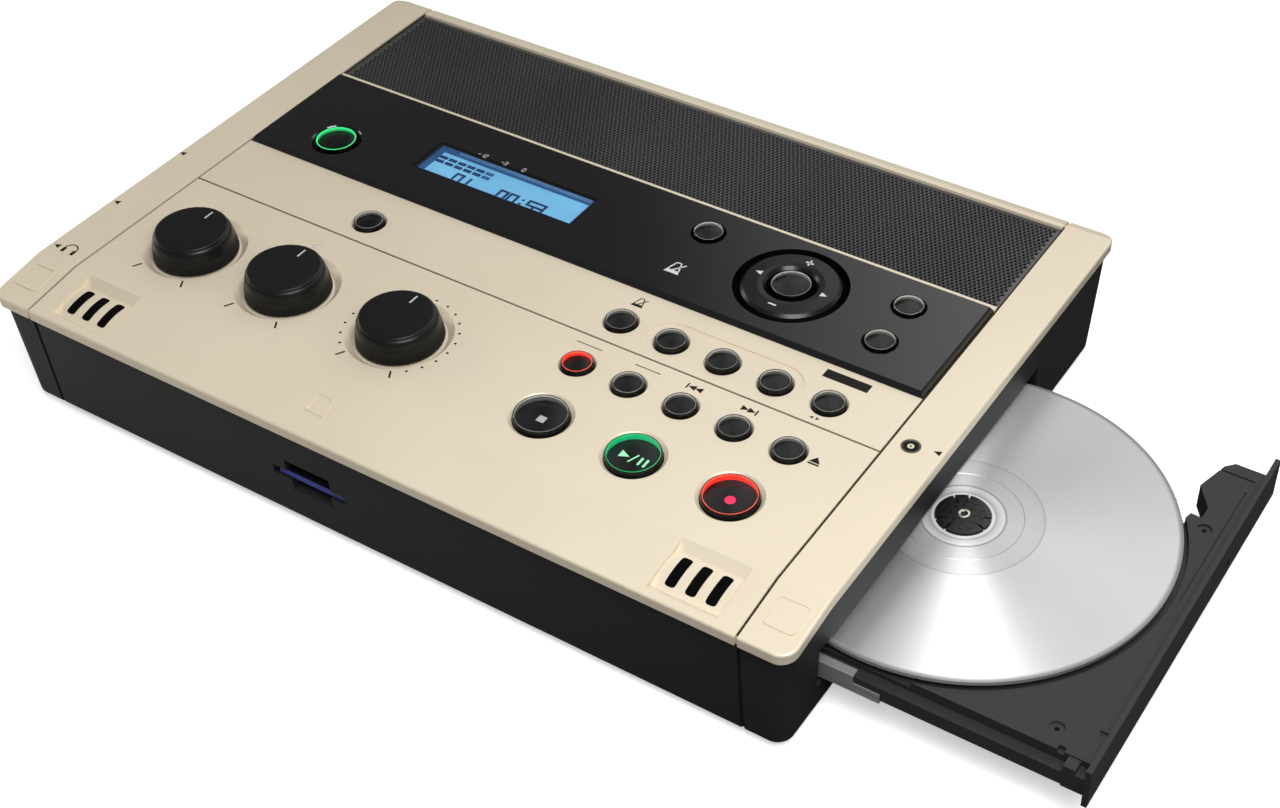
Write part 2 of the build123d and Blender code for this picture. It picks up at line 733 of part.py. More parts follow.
# Disc tray: moulded plate with the disc pocket, an ear at the far corner and a strip for the rail
tray_front = bezel_x - bezel_thick
cut_x = disc_x + (pocket_radius**2 - (tray_far - disc_y) ** 2) ** 0.5
ear = [(9.6, 4.2), (12.0, 6.7), (15.0, 17.5), (9.7, 25.0), (9.8, 29.5), (13.0, 29.3), (13.8, 32.1)]
tray_line = [(tray_back, tray_near), (tray_front, tray_near), (tray_front, bezel_rear - ear[0][1])]
tray_line += [(tray_front - inward, bezel_rear - down) for inward, down in ear]
tray = plan(tray_line + [(cut_x, tray_far), (tray_back, tray_far)], tray_low, tray_high)
tray -= barrel(disc_x, disc_y, pocket_radius, pocket_floor, 30)
tray += block(tray_back, tray_front, strip_near, tray_near, tray_low, strip_high)
tray += block(tray_front - 6.5, tray_front, strip_near - 0.4, tray_near, tray_low, tray_high - 0.4)
tray -= block(tray_front - 3.2, tray_front, strip_near - 0.4, tray_near, pocket_floor - 0.2, tray_high + 1)
hollow_top_z = pocket_floor - 1.6
hollow_line = [
    (tray_back + 2, tray_near + 2), (tray_front - 2, tray_near + 2), (tray_front - 2, tray_far - 4.3),
    (tray_front - 8.2, tray_far - 8.3), (tray_front - 21.2, tray_far - 6.3), (tray_front - 23.2, tray_far - 2),
    (tray_back + 2, tray_far - 2),
]
tray -= plan(hollow_line, tray_low - 1, hollow_top_z)
above = tray_high + 5
for x, y in ((tray_front - 7.4, tray_far - 9.5), (tray_front - 12.6, tray_near + 6.0)):
    tray += barrel(x, y, 3.0, tray_low, pocket_floor)
    tray -= barrel(x, y, 2.2, tray_high - 0.5, above)
    tray -= barrel(x, y, 0.7, tray_high - 2, above)
tray += block(tray_front - 3.0, tray_front, tray_near + 10.5, tray_near + 11.3, tray_high, tray_high + 0.6)
line_low = tray_high - 0.5
tray -= block(tray_front - 13.2, tray_front - 2.2, bezel_rear - 9.0, bezel_rear - 8.4, line_low, above)
tray -= block(tray_front - 3.2, tray_front - 2.7, disc_y + 1.7, bezel_rear - 13.8, line_low, above)
tray -= block(tray_front - 9.8, tray_front - 7.8, tray_near - 0.7, tray_near + 1.5, tray_high - 1.2, above)

# Hub opening and the window for the optical sled
hub_opening = 15.5
tray -= barrel(disc_x, disc_y, hub_opening, tray_low - 1, above)
sled_half = 15.0
sled_back = tray_back + 8.8
tray -= block(sled_back - 3.4, disc_x, disc_y - sled_half, disc_y + sled_half, tray_low - 1, above)
chassis_z = tray_low + 1.4
for x in (sled_back + 4, disc_x + 14):
    for side in (-1, 1):
        tray += barrel(x, disc_y + side * 18, 2.0, chassis_z + 1.0, hollow_top_z)
save(tray, "disc_tray", (0.2, 0.2, 0.2))

bezel = block(tray_front, bezel_x, bezel_front, bezel_rear, bezel_low, bezel_high)
bezel = fillet(bezel.faces().sort_by(Axis.X)[-1].edges(), 0.35)
bezel -= Pos(bezel_x, disc_y + 11.7, bezel_low + 4.8) * Rot(0, 90, 0) * Cylinder(0.6, 8)
bezel -= block(bezel_x - 0.3, bezel_x + 1, disc_y + 15.7, disc_y + 27.7, bezel_low + 3.2, bezel_low + 6.4)
save(bezel, "tray_bezel", (0.12, 0.12, 0.12))

# Motor on its chassis plate with two guide rods for the sled
chassis = block(sled_back - 3, disc_x + 18, disc_y - sled_half - 6, disc_y + sled_half + 6, chassis_z, chassis_z + 1.0)
chassis -= block(
    sled_back, disc_x - 14, disc_y - sled_half + 0.5, disc_y + sled_half - 0.5, chassis_z - 1, chassis_z + 2,
)
motor_radius = 12.5
chassis += barrel(disc_x, disc_y, motor_radius, chassis_z - 0.8, disc_z - 2.5)
spindle_radius = 1.5
chassis -= barrel(disc_x, disc_y, spindle_radius + 0.05, chassis_z + 0.6, above)
rod_y = 12.0
rod_z = chassis_z + 2.2
rod_radius = 1.0
rod_end = disc_x - 12.0
for side in (-1, 1):
    y = disc_y + side * rod_y
    chassis += Pos((sled_back + rod_end) / 2, y, rod_z) * Rot(0, 90, 0) * Cylinder(rod_radius, rod_end - sled_back)
    for x in (sled_back - 1.5, rod_end - 1.2):
        chassis += block(x - 1.2, x + 1.2, y - 1.8, y + 1.8, chassis_z, rod_z + 1.6)
save(chassis, "spindle_motor", (0.65, 0.65, 0.66))

# Sled with its lens, riding on the rods
sled_length = 14.0
sled_x = disc_x - 14.8 - sled_length / 2
sled_top = disc_z - 2.9
sled = block(
    sled_x - sled_length / 2, sled_x + sled_length / 2, disc_y - sled_half + 1.2, disc_y + sled_half - 1.2,
    chassis_z + 0.2, sled_top,
)
sled += barrel(sled_x, disc_y, 3.6, sled_top, sled_top + 1.0)
for side in (-1, 1):
    sled -= Pos(sled_x, disc_y + side * rod_y, rod_z) * Rot(0, 90, 0) * Cylinder(rod_radius + 0.05, 2 * sled_length)
save(sled, "pickup_sled", (0.2, 0.2, 0.2))

# Hub: turntable, centring cone with clips and a short spindle
disc_top = disc_z + disc_thick
table_radius = 13.2
table_low = disc_z - 2.1
pin_radius = 1.9
hub = turned([
    (0, chassis_z + 0.8), (spindle_radius, chassis_z + 0.8), (spindle_radius, table_low),
    (table_radius - 0.6, table_low), (table_radius, table_low + 0.6), (table_radius, disc_z),
    (disc_hole - 0.1, disc_z), (disc_hole - 0.1, disc_top + 0.1), (disc_hole + 0.5, disc_top + 0.1),
    (disc_hole + 0.2, disc_top + 0.6), (disc_hole - 1.1, disc_top + 0.75), (pin_radius, disc_top + 0.75),
    (pin_radius, disc_top + 0.9), (0, disc_top + 0.9),
])
for turn in range(3):
    for spread in (-17, 17):
        slit = block(disc_hole - 2.9, disc_hole + 1.1, -0.3, 0.3, disc_z + 0.2, above)
        hub -= Rot(0, 0, 120 * turn + spread) * slit
save(Pos(disc_x, disc_y, 0) * hub, "spindle_hub", (0.1, 0.1, 0.1))

ridge_radius = 17.0
disc_form = turned([
    (disc_hole, disc_z), (disc_radius, disc_z), (disc_radius, disc_top), (ridge_radius + 0.2, disc_top),
    (ridge_radius, disc_top + 0.12), (ridge_radius - 0.2, disc_top), (disc_hole, disc_top),
])
save(Pos(disc_x, disc_y, 0) * disc_form, "disc", (0.85, 0.85, 0.88))

# Memory card and its socket
card_left = card_x - card_width / 2
card_right = card_x + card_width / 2
card_low = card_z - card_thick / 2
card_line = [(card_left, card_face), (card_right, card_face), (card_right, card_face + card_length),
             (card_left + 4, card_face + card_length), (card_left, card_face + card_length - 4)]
card = plan(card_line, card_low, card_low + card_thick)
save(card, "memory_card", (0.2, 0.25, 0.6))

socket = block(card_left - 2.4, card_right + 2.4, pad_rear, socket_rear, socket_low, card_z + 3.3)
socket -= block(
    card_left - fit, card_right + fit, pad_rear - 1, card_face + card_length + 0.8,
    card_low - fit, card_low + card_thick + fit,
)
save(socket, "card_socket", (0.6, 0.6, 0.6))

# Phono sockets: body behind the wall, a sleeve in front of it and a contact tube inside
side_face = left + wall_inset(jack_z)
phono_body = 5.0
phono_sleeve = 4.15
phono_length = 22.0
phono_contact = 2.4
phonos = Part()
for y in phono_y:
    jack = Cylinder(phono_body, 14).translate((0, 0, 2)) + Cylinder(phono_sleeve, phono_length).translate((0, 0, -2))
    jack -= Cylinder(phono_sleeve - 1.05, phono_length - 2).translate((0, 0, -6))
    jack += Cylinder(phono_contact, 16).translate((0, 0, -1.5)) - Cylinder(phono_contact - 0.8, 20).translate((0, 0, -4))
    phonos += Pos(side_face + 4.5, y, jack_z) * Rot(0, 90, 0) * jack
save(phonos, "phono_jacks", (0.75, 0.72, 0.6))

mini_face = 3.0
mini_bore = 1.8
mini_body = (9.0, 9.0, 11.0)
minis = Part()
for y in (phones_y, mic_jack_y):
    jack = Cylinder(mini_face, 3).translate((0, 0, 1.2)) + Box(*mini_body).translate((0, 0, 2.7 + mini_body[2] / 2))
    jack -= Cylinder(mini_bore, 20).translate((0, 0, 1.5))
    minis += Pos(side_face + 0.2, y, jack_z) * Rot(0, 90, 0) * jack
save(minis, "mini_jacks", black)

# Rear sockets: round combination sockets with a plug bore and three pin holes
rear_face = rear - wall_inset(combo_z)
face_gap = 0.2
combo_length = 16.0
combo_recess = 9.6
combo_core = 8.4
combo_bore = 3.2
pin_hole = 1.3
pin_circle = 5.6
combos = Part()
for x in combo_x:
    face = Cylinder(combo_radius, combo_length).translate((0, 0, -combo_length / 2 - face_gap))
    face -= Cylinder(combo_recess, 3)
    face += Cylinder(combo_core, 4).translate((0, 0, -2 - face_gap))
    face -= Cylinder(combo_bore, 2 * (combo_length - 1))
    for turn in (90, 210, 330):
        face -= Rot(0, 0, turn) * Cylinder(pin_hole, 12).translate((pin_circle, 0, 0))
    combos += Pos(x, rear_face, combo_z) * Rot(-90, 0, 0) * face
save(combos, "combo_sockets", black)

port_face = rear - wall_inset(socket_z)
port_rear = port_face - 10


def port_block(half_width, half_height, y0, y1):
    return block(usb_x - half_width, usb_x + half_width, y0, y1, socket_z - half_height, socket_z + half_height)


usb = port_block(usb_half, usb_half - 0.5, port_rear - 6, port_face - face_gap)
usb -= port_block(usb_half - 1.8, usb_half - 2.1, port_rear, port_face + 1)
usb += port_block(usb_half - 3.2, usb_half - 4.4, port_rear, port_face - face_gap - 1)
save(usb, "usb_port", (0.7, 0.7, 0.7))

inlet_body = (14.0, 11.0, 10.0)
inlet_bore = 3.0
inlet_pin = 1.2
inlet = Cylinder(inlet_radius, 4).translate((0, 0, -2 - face_gap)) + Box(*inlet_body).translate((0, 0, -9))
inlet -= Cylinder(inlet_bore, 24)
inlet += Cylinder(inlet_pin, 12).translate((0, 0, -7)) + Box(*inlet_body[:2], 1.5).translate((0, 0, -13.25))
save(Pos(inlet_x, port_face, socket_z) * Rot(-90, 0, 0) * inlet, "dc_inlet", black)
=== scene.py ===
import bpy
from math import cos, sin, pi, radians, hypot
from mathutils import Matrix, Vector


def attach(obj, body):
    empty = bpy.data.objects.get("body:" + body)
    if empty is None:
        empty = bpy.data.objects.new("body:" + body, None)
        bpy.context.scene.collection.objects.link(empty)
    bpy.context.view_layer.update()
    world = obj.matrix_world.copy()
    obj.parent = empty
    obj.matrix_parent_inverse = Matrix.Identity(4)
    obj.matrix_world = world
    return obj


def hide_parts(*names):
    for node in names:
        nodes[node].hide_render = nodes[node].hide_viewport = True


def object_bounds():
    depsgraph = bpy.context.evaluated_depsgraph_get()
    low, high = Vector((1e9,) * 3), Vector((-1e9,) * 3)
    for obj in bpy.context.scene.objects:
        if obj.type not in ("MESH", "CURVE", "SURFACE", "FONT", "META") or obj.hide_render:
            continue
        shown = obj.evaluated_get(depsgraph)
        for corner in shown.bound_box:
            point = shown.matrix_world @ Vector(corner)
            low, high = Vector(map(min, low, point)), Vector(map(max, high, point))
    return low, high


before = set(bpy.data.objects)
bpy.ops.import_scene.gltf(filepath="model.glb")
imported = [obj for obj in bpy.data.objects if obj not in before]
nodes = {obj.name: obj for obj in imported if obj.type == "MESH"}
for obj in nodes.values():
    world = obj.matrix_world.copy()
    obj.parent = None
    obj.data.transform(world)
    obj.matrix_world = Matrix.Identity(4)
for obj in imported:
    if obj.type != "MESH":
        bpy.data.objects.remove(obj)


def corners(pair):
    return [[float(v) for v in corner] for corner in pair]


cadBox = corners(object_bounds())
print("frame loaded:", len(nodes), "nodes")

mm = 0.001
frontEdge = -99.0      # y of the trim's front edge in mm; places below are measured back from it
deckHeight = 42.5
noseHeight = 39.6      # top of the trim at its front edge
creaseRun = 20.5       # depth of the sloping nose
plateTop = 44.2
white = (1, 1, 1, 1)


# Colour and node helpers

def linear(hexColour):
    parts = [int(hexColour[i:i + 2], 16) / 255 for i in (1, 3, 5)]
    return [c / 12.92 if c <= 0.04045 else ((c + 0.055) / 1.055) ** 2.4 for c in parts] + [1.0]


def link(tree, a, b):
    tree.links.new(a, b)


def addNode(tree, kind, **values):
    node = tree.nodes.new(kind)
    for key, value in values.items():
        setattr(node, key, value)
    return node


def setInputs(node, values):
    for key, value in values.items():
        node.inputs[key].default_value = value


def mapRange(tree, value, limits, **settings):
    spread = addNode(tree, "ShaderNodeMapRange", **settings)
    link(tree, value, spread.inputs["Value"])
    setInputs(spread, limits)
    return spread.outputs["Result"]


def rangeOf(tree, value, low, high):
    return mapRange(tree, value, {"To Min": low, "To Max": high})


def mixColours(tree, mask, low, high):
    # low and high are colours, or sockets that give them
    blend = addNode(tree, "ShaderNodeMix", data_type="RGBA")
    link(tree, mask, blend.inputs["Factor"])
    for label, value in (("A", low), ("B", high)):
        if isinstance(value, bpy.types.NodeSocket):
            link(tree, value, blend.inputs[label])
        else:
            blend.inputs[label].default_value = value
    return blend.outputs["Result"]


def fillRamp(colours, stops):
    # stops are (position, colour) pairs
    points = colours.color_ramp.elements
    while len(points) < len(stops):
        points.new(0.5)
    for element, (where, colour) in zip(points, stops):
        element.position = where
        element.color = colour


def makeGroup(name, inputs, outputs):
    group = bpy.data.node_groups.new(name, "ShaderNodeTree")
    for label, value in inputs:
        socket = group.interface.new_socket(name=label, in_out="INPUT", socket_type="NodeSocketFloat")
        socket.default_value = value
    for label in outputs:
        group.interface.new_socket(name=label, in_out="OUTPUT", socket_type="NodeSocketFloat")
    return group, addNode(group, "NodeGroupInput"), addNode(group, "NodeGroupOutput")


# Shader groups

grainLook = {"fineDetail": 3.0, "slowDetail": 2.0, "contrast": {"From Min": 0.3, "From Max": 0.7}}


def buildGrain(g=grainLook):
    # moulded or sprayed grain: a fine height, and a mask that drifts slowly over the surface
    inputs = [("Grain Size", 900.0), ("Drift Size", 12.0)]
    group, start, end = makeGroup("surfaceGrain", inputs, ["Height", "Drift"])
    position = addNode(group, "ShaderNodeTexCoord")
    fine = addNode(group, "ShaderNodeTexNoise")
    slow = addNode(group, "ShaderNodeTexNoise")
    for noise, label, detail in ((fine, "Grain Size", "fineDetail"), (slow, "Drift Size", "slowDetail")):
        noise.inputs["Detail"].default_value = g[detail]
        link(group, position.outputs["Object"], noise.inputs["Vector"])
        link(group, start.outputs[label], noise.inputs["Scale"])
    link(group, fine.outputs["Fac"], end.inputs["Height"])
    link(group, mapRange(group, slow.outputs["Fac"], g["contrast"]), end.inputs["Drift"])
    return group


brushLook = {"detail": 4.0, "stretch": (0.6, 40.0, 40.0), "contrast": {"From Min": 0.35, "From Max": 0.65}}


def buildBrushed(b=brushLook):
    # long fine lines along X, for brushed or rolled metal
    group, start, end = makeGroup("brushedLines", [("Line Size", 60.0)], ["Height", "Streak"])
    position = addNode(group, "ShaderNodeTexCoord")
    stretch = addNode(group, "ShaderNodeMapping")
    stretch.inputs["Scale"].default_value = b["stretch"]
    noise = addNode(group, "ShaderNodeTexNoise")
    noise.inputs["Detail"].default_value = b["detail"]
    link(group, position.outputs["Object"], stretch.inputs["Vector"])
    link(group, stretch.outputs["Vector"], noise.inputs["Vector"])
    link(group, start.outputs["Line Size"], noise.inputs["Scale"])
    link(group, noise.outputs["Fac"], end.inputs["Height"])
    link(group, mapRange(group, noise.outputs["Fac"], b["contrast"]), end.inputs["Streak"])
    return group


grainGroup = buildGrain()
brushedGroup = buildBrushed()


def useGrain(tree, grain, drift):
    node = addNode(tree, "ShaderNodeGroup", node_tree=grainGroup)
    setInputs(node, {"Grain Size": grain, "Drift Size": drift})
    return node.outputs["Height"], node.outputs["Drift"]


def useLines(tree, lines):
    node = addNode(tree, "ShaderNodeGroup", node_tree=brushedGroup)
    setInputs(node, {"Line Size": lines})
    return node.outputs["Height"], node.outputs["Streak"]


# Materials

grainRelief = 0.0002       # full height of the relief, in metres
brushRelief = 0.0001
brushStrength = 0.08
plainDrift = 14.0


def freshMaterial(name):
    material = bpy.data.materials.new(name)
    material.use_nodes = True
    tree = material.node_tree
    return material, tree, tree.nodes["Principled BSDF"]


def addBump(tree, shader, height, strength, distance=grainRelief):
    bump = addNode(tree, "ShaderNodeBump")
    setInputs(bump, {"Strength": strength, "Distance": distance})
    link(tree, height, bump.inputs["Height"])
    link(tree, bump.outputs["Normal"], shader.inputs["Normal"])


def shadeSurface(tree, shader, mask, low, high, rough):
    # two close shades and a roughness, both varied by the mask
    link(tree, mixColours(tree, mask, linear(low), linear(high)), shader.inputs["Base Color"])
    link(tree, rangeOf(tree, mask, *rough), shader.inputs["Roughness"])


def moulded(name, low, high, rough, grain=900.0, depth=0.12, sockets=None):
    # painted, moulded or rubber surface
    material, tree, shader = freshMaterial(name)
    height, drift = useGrain(tree, grain, plainDrift)
    shadeSurface(tree, shader, drift, low, high, rough)
    addBump(tree, shader, height, depth)
    setInputs(shader, sockets or {})
    return material


def brushed(name, low, high, rough, lines, metal):
    material, tree, shader = freshMaterial(name)
    height, streak = useLines(tree, lines)
    shadeSurface(tree, shader, streak, low, high, rough)
    addBump(tree, shader, height, brushStrength, brushRelief)
    shader.inputs["Metallic"].default_value = metal
    return material


glowGrain = {"grain": 500.0, "drift": 60.0}


def glowing(name, low, high, strength, rough=0.3):
    # glowing surface: lit plastic, and the painted glow of the unlit buttons' grey linings; the glow itself
    # varies a little over the surface
    material, tree, shader = freshMaterial(name)
    drift = useGrain(tree, **glowGrain)[1]
    colour = mixColours(tree, drift, linear(low), linear(high))
    link(tree, colour, shader.inputs["Base Color"])
    link(tree, colour, shader.inputs["Emission Color"])
    setInputs(shader, {"Emission Strength": strength, "Roughness": rough})
    return material


clearGrain = {"grain": 300.0, "drift": 40.0}


def clear(name, low, high, rough, ior):
    material, tree, shader = freshMaterial(name)
    drift = useGrain(tree, **clearGrain)[1]
    link(tree, mixColours(tree, drift, linear(low), linear(high)), shader.inputs["Base Color"])
    setInputs(shader, {"Transmission Weight": 1.0, "Roughness": rough, "IOR": ior})
    return material


finishes = {
    "champagne": moulded("champagnePaint", "#DFD2BB", "#E4D8C1", (0.38, 0.45), 2600.0, 0.14,
                         {"Metallic": 0.22, "Specular IOR Level": 0.3}),
    "case": moulded("casePlastic", "#212121", "#262626", (0.50, 0.58), 1700.0, 0.2,
                    {"Specular IOR Level": 0.22}),
    "plate": moulded("plateGloss", "#090909", "#0C0C0C", (0.10, 0.14), 40.0, 0.01,
                     {"Specular IOR Level": 0.8}),
    "knob": moulded("knobPlastic", "#0F0F0F", "#131313", (0.32, 0.38), 1500.0, 0.05,
                    {"Specular IOR Level": 0.28}),
    "pointer": moulded("pointerPaint", "#B4B4B0", "#C0C0BC", (0.45, 0.55)),
    "print": moulded("darkPrint", "#15110D", "#1C1712", (0.55, 0.65), sockets={"Specular IOR Level": 0.2}),
    "whitePrint": moulded("whitePrint", "#C8C8C8", "#DADADA", (0.40, 0.50)),
    "core": moulded("buttonCore", "#0C0C0E", "#111114", (0.18, 0.24), 300.0, 0.02),
    # grey linings of the unlit buttons: painted glow that stands in for light on the inner wall, and a paler
    # rim that is a painted highlight
    "lining": glowing("buttonLining", "#66635D", "#7A766F", 0.3),
    "liningRim": glowing("buttonLiningRim", "#C4C0B8", "#D6D2C9", 0.5),
    "ring": moulded("ringPlastic", "#101011", "#151516", (0.26, 0.32), 1400.0, 0.04,
                    {"Specular IOR Level": 0.35}),
    "clear": clear("buttonClear", "#E4E6E8", "#F2F3F4", 0.03, 1.25),
    "window": clear("windowClear", "#DCE6F0", "#EEF4FA", 0.02, 1.49),
    "lamp": moulded("lampMilk", "#DDD6C6", "#E8E2D2", (0.12, 0.18), 300.0, 0.02,
                    {"Transmission Weight": 0.25}),
    "grille": moulded("grilleSteel", "#505050", "#606060", (0.30, 0.40), 1200.0, 0.05, {"Metallic": 0.4}),
    "cloth": moulded("grilleCloth", "#040404", "#070707", (0.85, 0.95), 2400.0, 0.3,
                     {"Specular IOR Level": 0.05}),
    "cone": moulded("speakerCone", "#141415", "#1C1C1D", (0.7, 0.8), 1500.0, 0.3),
    "tray": moulded("trayPlastic", "#202021", "#282829", (0.46, 0.56), 1500.0, 0.35,
                    {"Specular IOR Level": 0.45}),
    "rubber": moulded("footRubber", "#101010", "#171717", (0.75, 0.85), 1600.0, 0.3),
    "board": moulded("boardMask", "#0E4A26", "#15592F", (0.35, 0.45), 200.0, 0.05),
    "socket": moulded("socketPlastic", "#151515", "#1C1C1C", (0.40, 0.50)),
    "hub": moulded("hubPlastic", "#0D0D0E", "#141415", (0.30, 0.38)),
    "seam": moulded("seamShade", "#2A231A", "#33291F", (0.7, 0.8), sockets={"Specular IOR Level": 0.1}),
    "steel": brushed("rolledSteel", "#8E8E90", "#AAAAAC", (0.36, 0.48), 60.0, 0.5),
    "plated": brushed("nickelPlate", "#B9B5AA", "#D2CEC3", (0.14, 0.24), 25.0, 1.0),
    "green": glowing("greenGlow", "#0FA552", "#18B860", 0.9),
    "greenRim": glowing("greenRimGlow", "#22D573", "#3BE68C", 1.1),
    "playGreen": glowing("playGreenGlow", "#0AA063", "#14B57C", 0.8),
    "playGreenRim": glowing("playGreenRimGlow", "#12B254", "#2CC877", 0.9),
    "red": glowing("redGlow", "#E8281A", "#F23626", 0.9),
    "redRim": glowing("redRimGlow", "#FF4634", "#FF6A58", 1.1),
    "display": glowing("displayGlow", "#7CBFDF", "#88C9E6", 0.66, 0.15),
    "displayWall": glowing("displayWall", "#1F5280", "#28608F", 0.3),
    "displayLine": glowing("displayLine", "#9CC8E4", "#B4D8EE", 0.3),
    "segment": moulded("displaySegment", "#124E96", "#1A5CA8", (0.2, 0.3)),
    "fadedSegment": moulded("fadedSegment", "#4688C4", "#5496CE", (0.2, 0.3)),
    "recordDot": glowing("recordDotGlow", "#E01848", "#FF3D6C", 0.8),
    "playMark": glowing("playMarkGlow", "#8FE3AE", "#B8F5CC", 0.5),
}

cardLook = {"grain": 1400.0, "drift": 60.0, "blue": ("#1E2C8C", "#2A3AA6"), "label": ("#101216", "#1A1C20"),
            "labelFrom": 18.85, "labelTo": 18.9, "rough": (0.30, 0.38), "depth": 0.05}


def buildCardMaterial(c=cardLook):
    # blue case with a dark label on its top face
    material, tree, shader = freshMaterial("cardPlastic")
    height, drift = useGrain(tree, c["grain"], c["drift"])
    blue, label = [mixColours(tree, drift, *map(linear, c[part])) for part in ("blue", "label")]
    position = addNode(tree, "ShaderNodeTexCoord")
    split = addNode(tree, "ShaderNodeSeparateXYZ")
    link(tree, position.outputs["Object"], split.inputs["Vector"])
    top = mapRange(tree, split.outputs["Z"], {"From Min": c["labelFrom"] * mm, "From Max": c["labelTo"] * mm})
    link(tree, mixColours(tree, top, blue, label), shader.inputs["Base Color"])
    link(tree, rangeOf(tree, drift, *c["rough"]), shader.inputs["Roughness"])
    addBump(tree, shader, height, c["depth"])
    return material


finishes["card"] = buildCardMaterial()
print("materials built:", len(finishes))

nodeFinish = {
    "champagne": ["top_panel", "left_rail", "right_rail"],
    "case": ["lower_case", "left_cheek", "right_cheek"],
    "plate": ["display_plate"],
    "window": ["display_window"],
    "lamp": ["peak_lenses"],
    "display": ["display_module"],
    "cloth": ["mic_inserts"],
    "cone": ["speaker_drivers"],
    "ring": ["nav_ring"],
    "tray": ["disc_tray", "tray_bezel", "pickup_sled"],
    "rubber": ["rubber_feet"],
    "board": ["panel_board", "main_board"],
    "socket": ["nav_gimbal", "mini_jacks", "combo_sockets", "dc_inlet"],
    "hub": ["spindle_hub"],
    "card": ["memory_card"],
    "steel": ["case_screws", "mic_shaft", "line_shaft", "volume_shaft", "knob_pots", "drive_housing",
              "slide_rail", "spindle_motor", "card_socket"],
    "plated": ["phono_jacks", "usb_port"],
}


def dressNode(name, finish):
    mesh = nodes[name].data
    mesh.materials.clear()
    mesh.materials.append(finishes[finish])


for finish, names in nodeFinish.items():
    for name in names:
        dressNode(name, finish)
print("nodes dressed")


# Mesh helpers; sizes here are in mm, y back from the front edge

smoothAngle = 35


def place(x, y, z):
    return (x * mm, (y + frontEdge) * mm, z * mm)


def makePiece(name, points, faces, finish, body, slot, smooth=False, replaced=()):
    mesh = bpy.data.meshes.new(name)
    mesh.from_pydata([place(*p) for p in points], [], faces)
    mesh.materials.append(finishes[finish])
    mesh.polygons.foreach_set("use_smooth", [smooth] * len(mesh.polygons))
    mesh.update()
    piece = bpy.data.objects.new(name, mesh)
    bpy.context.scene.collection.objects.link(piece)
    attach(piece, body)
    if replaced:
        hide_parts(*replaced)
    if smooth:
        bpy.context.view_layer.objects.active = piece
        piece.select_set(True)
        bpy.ops.object.shade_smooth_by_angle(angle=radians(smoothAngle))
        piece.select_set(False)
    return piece


def lathe(centre, profile, count=64, wave=None):
    # closed turned form from (radius, height) pairs running from the bottom centre to the top centre
    x0, y0 = centre
    points, faces, rings = [], [], []
    for step, (radius, height) in enumerate(profile):
        if radius == 0:
            rings.append([len(points)])
            points.append((x0, y0, height))
            continue
        rings.append(range(len(points), len(points) + count))
        for i in range(count):
            turn = 2 * pi * i / count
            reach = radius + (wave(step, turn) if wave else 0)
            points.append((x0 + reach * cos(turn), y0 + reach * sin(turn), height))
    for low, high in zip(rings, rings[1:]):
        for i in range(count):
            j = (i + 1) % count
            if len(low) == 1:
                faces.append((low[0], high[j], high[i]))
            elif len(high) == 1:
                faces.append((low[i], low[j], high[0]))
            else:
                faces.append((low[i], low[j], high[j], high[i]))
    return points, faces


def joinParts(parts):
    points, faces = [], []
    for somePoints, someFaces in parts:
        shift = len(points)
        points += somePoints
        faces += [tuple(i + shift for i in face) for face in someFaces]
    return points, faces


def slopeHeight(y):
    return noseHeight + (deckHeight - noseHeight) * min(y, creaseRun) / creaseRun


# Printed shapes, thin solids with their top just above the surface

inkThickness = 0.03


def inkShape(outline, level=deckHeight, rise=inkThickness):
    # level is a height, or a function that gives it from y
    height = level if callable(level) else (lambda y: level)
    count = len(outline)
    points = [(x, y, height(y) + rise) for x, y in outline]
    points += [(x, y, height(y) - inkThickness) for x, y in outline]
    faces = [tuple(range(count)), tuple(reversed(range(count, 2 * count)))]
    faces += [(i, i + count, (i + 1) % count + count, (i + 1) % count) for i in range(count)]
    following = outline[1:] + outline[:1]
    area = sum(xa * yb - xb * ya for (xa, ya), (xb, yb) in zip(outline, following))
    if area < 0:
        faces = [tuple(reversed(face)) for face in faces]
    return points, faces


def inkBox(xa, ya, xb, yb, level=deckHeight):
    return inkShape([(xa, ya), (xb, ya), (xb, yb), (xa, yb)], level)


def inkBar(a, b, thickness, level=deckHeight, rise=inkThickness):
    length = hypot(b[0] - a[0], b[1] - a[1])
    sx = -(b[1] - a[1]) / length * thickness / 2
    sy = (b[0] - a[0]) / length * thickness / 2
    ends = [(a[0] + sx, a[1] + sy), (a[0] - sx, a[1] - sy), (b[0] - sx, b[1] - sy), (b[0] + sx, b[1] + sy)]
    return inkShape(ends, level, rise)


def inkBars(points, thickness, level=deckHeight, rise=inkThickness):
    return joinParts([inkBar(a, b, thickness, level, rise) for a, b in zip(points, points[1:])])


def inkDot(x, y, radius, level=deckHeight, count=20):
    turns = [2 * pi * i / count for i in range(count)]
    return inkShape([(x + radius * cos(turn), y + radius * sin(turn)) for turn in turns], level)


def inkArrow(x, y, size, turn, level=deckHeight, squash=0.9):
    # filled triangle that points along turn, in degrees
    half = size / 2
    tips = [(half, 0), (-half, half * squash), (-half, -half * squash)]
    c, s = cos(radians(turn)), sin(radians(turn))
    return inkShape([(x + u * c - v * s, y + u * s + v * c) for u, v in tips], level)


def inkRing(x, y, radius, thickness, start=0, end=360, steps=36):
    turns = [radians(start + (end - start) * i / steps) for i in range(steps + 1)]
    return inkBars([(x + radius * cos(turn), y + radius * sin(turn)) for turn in turns], thickness)


def printed(name, parts, finish="print", body="case", slot="champagne_plastic"):
    points, faces = joinParts(parts)
    return makePiece(name, points, faces, finish, body, slot)


# Speaker grille: a sheet with real holes in staggered rows, over a dark cloth

grille = {"left": -125.2, "right": 125.2, "front": 147.7, "rear": 192.8, "top": 41.5,
          "pitch": 1.53, "row": 1.30, "hole": 0.6, "sides": 8, "sheet": 0.45, "margin": 0.9}
nearZero = 1e-6


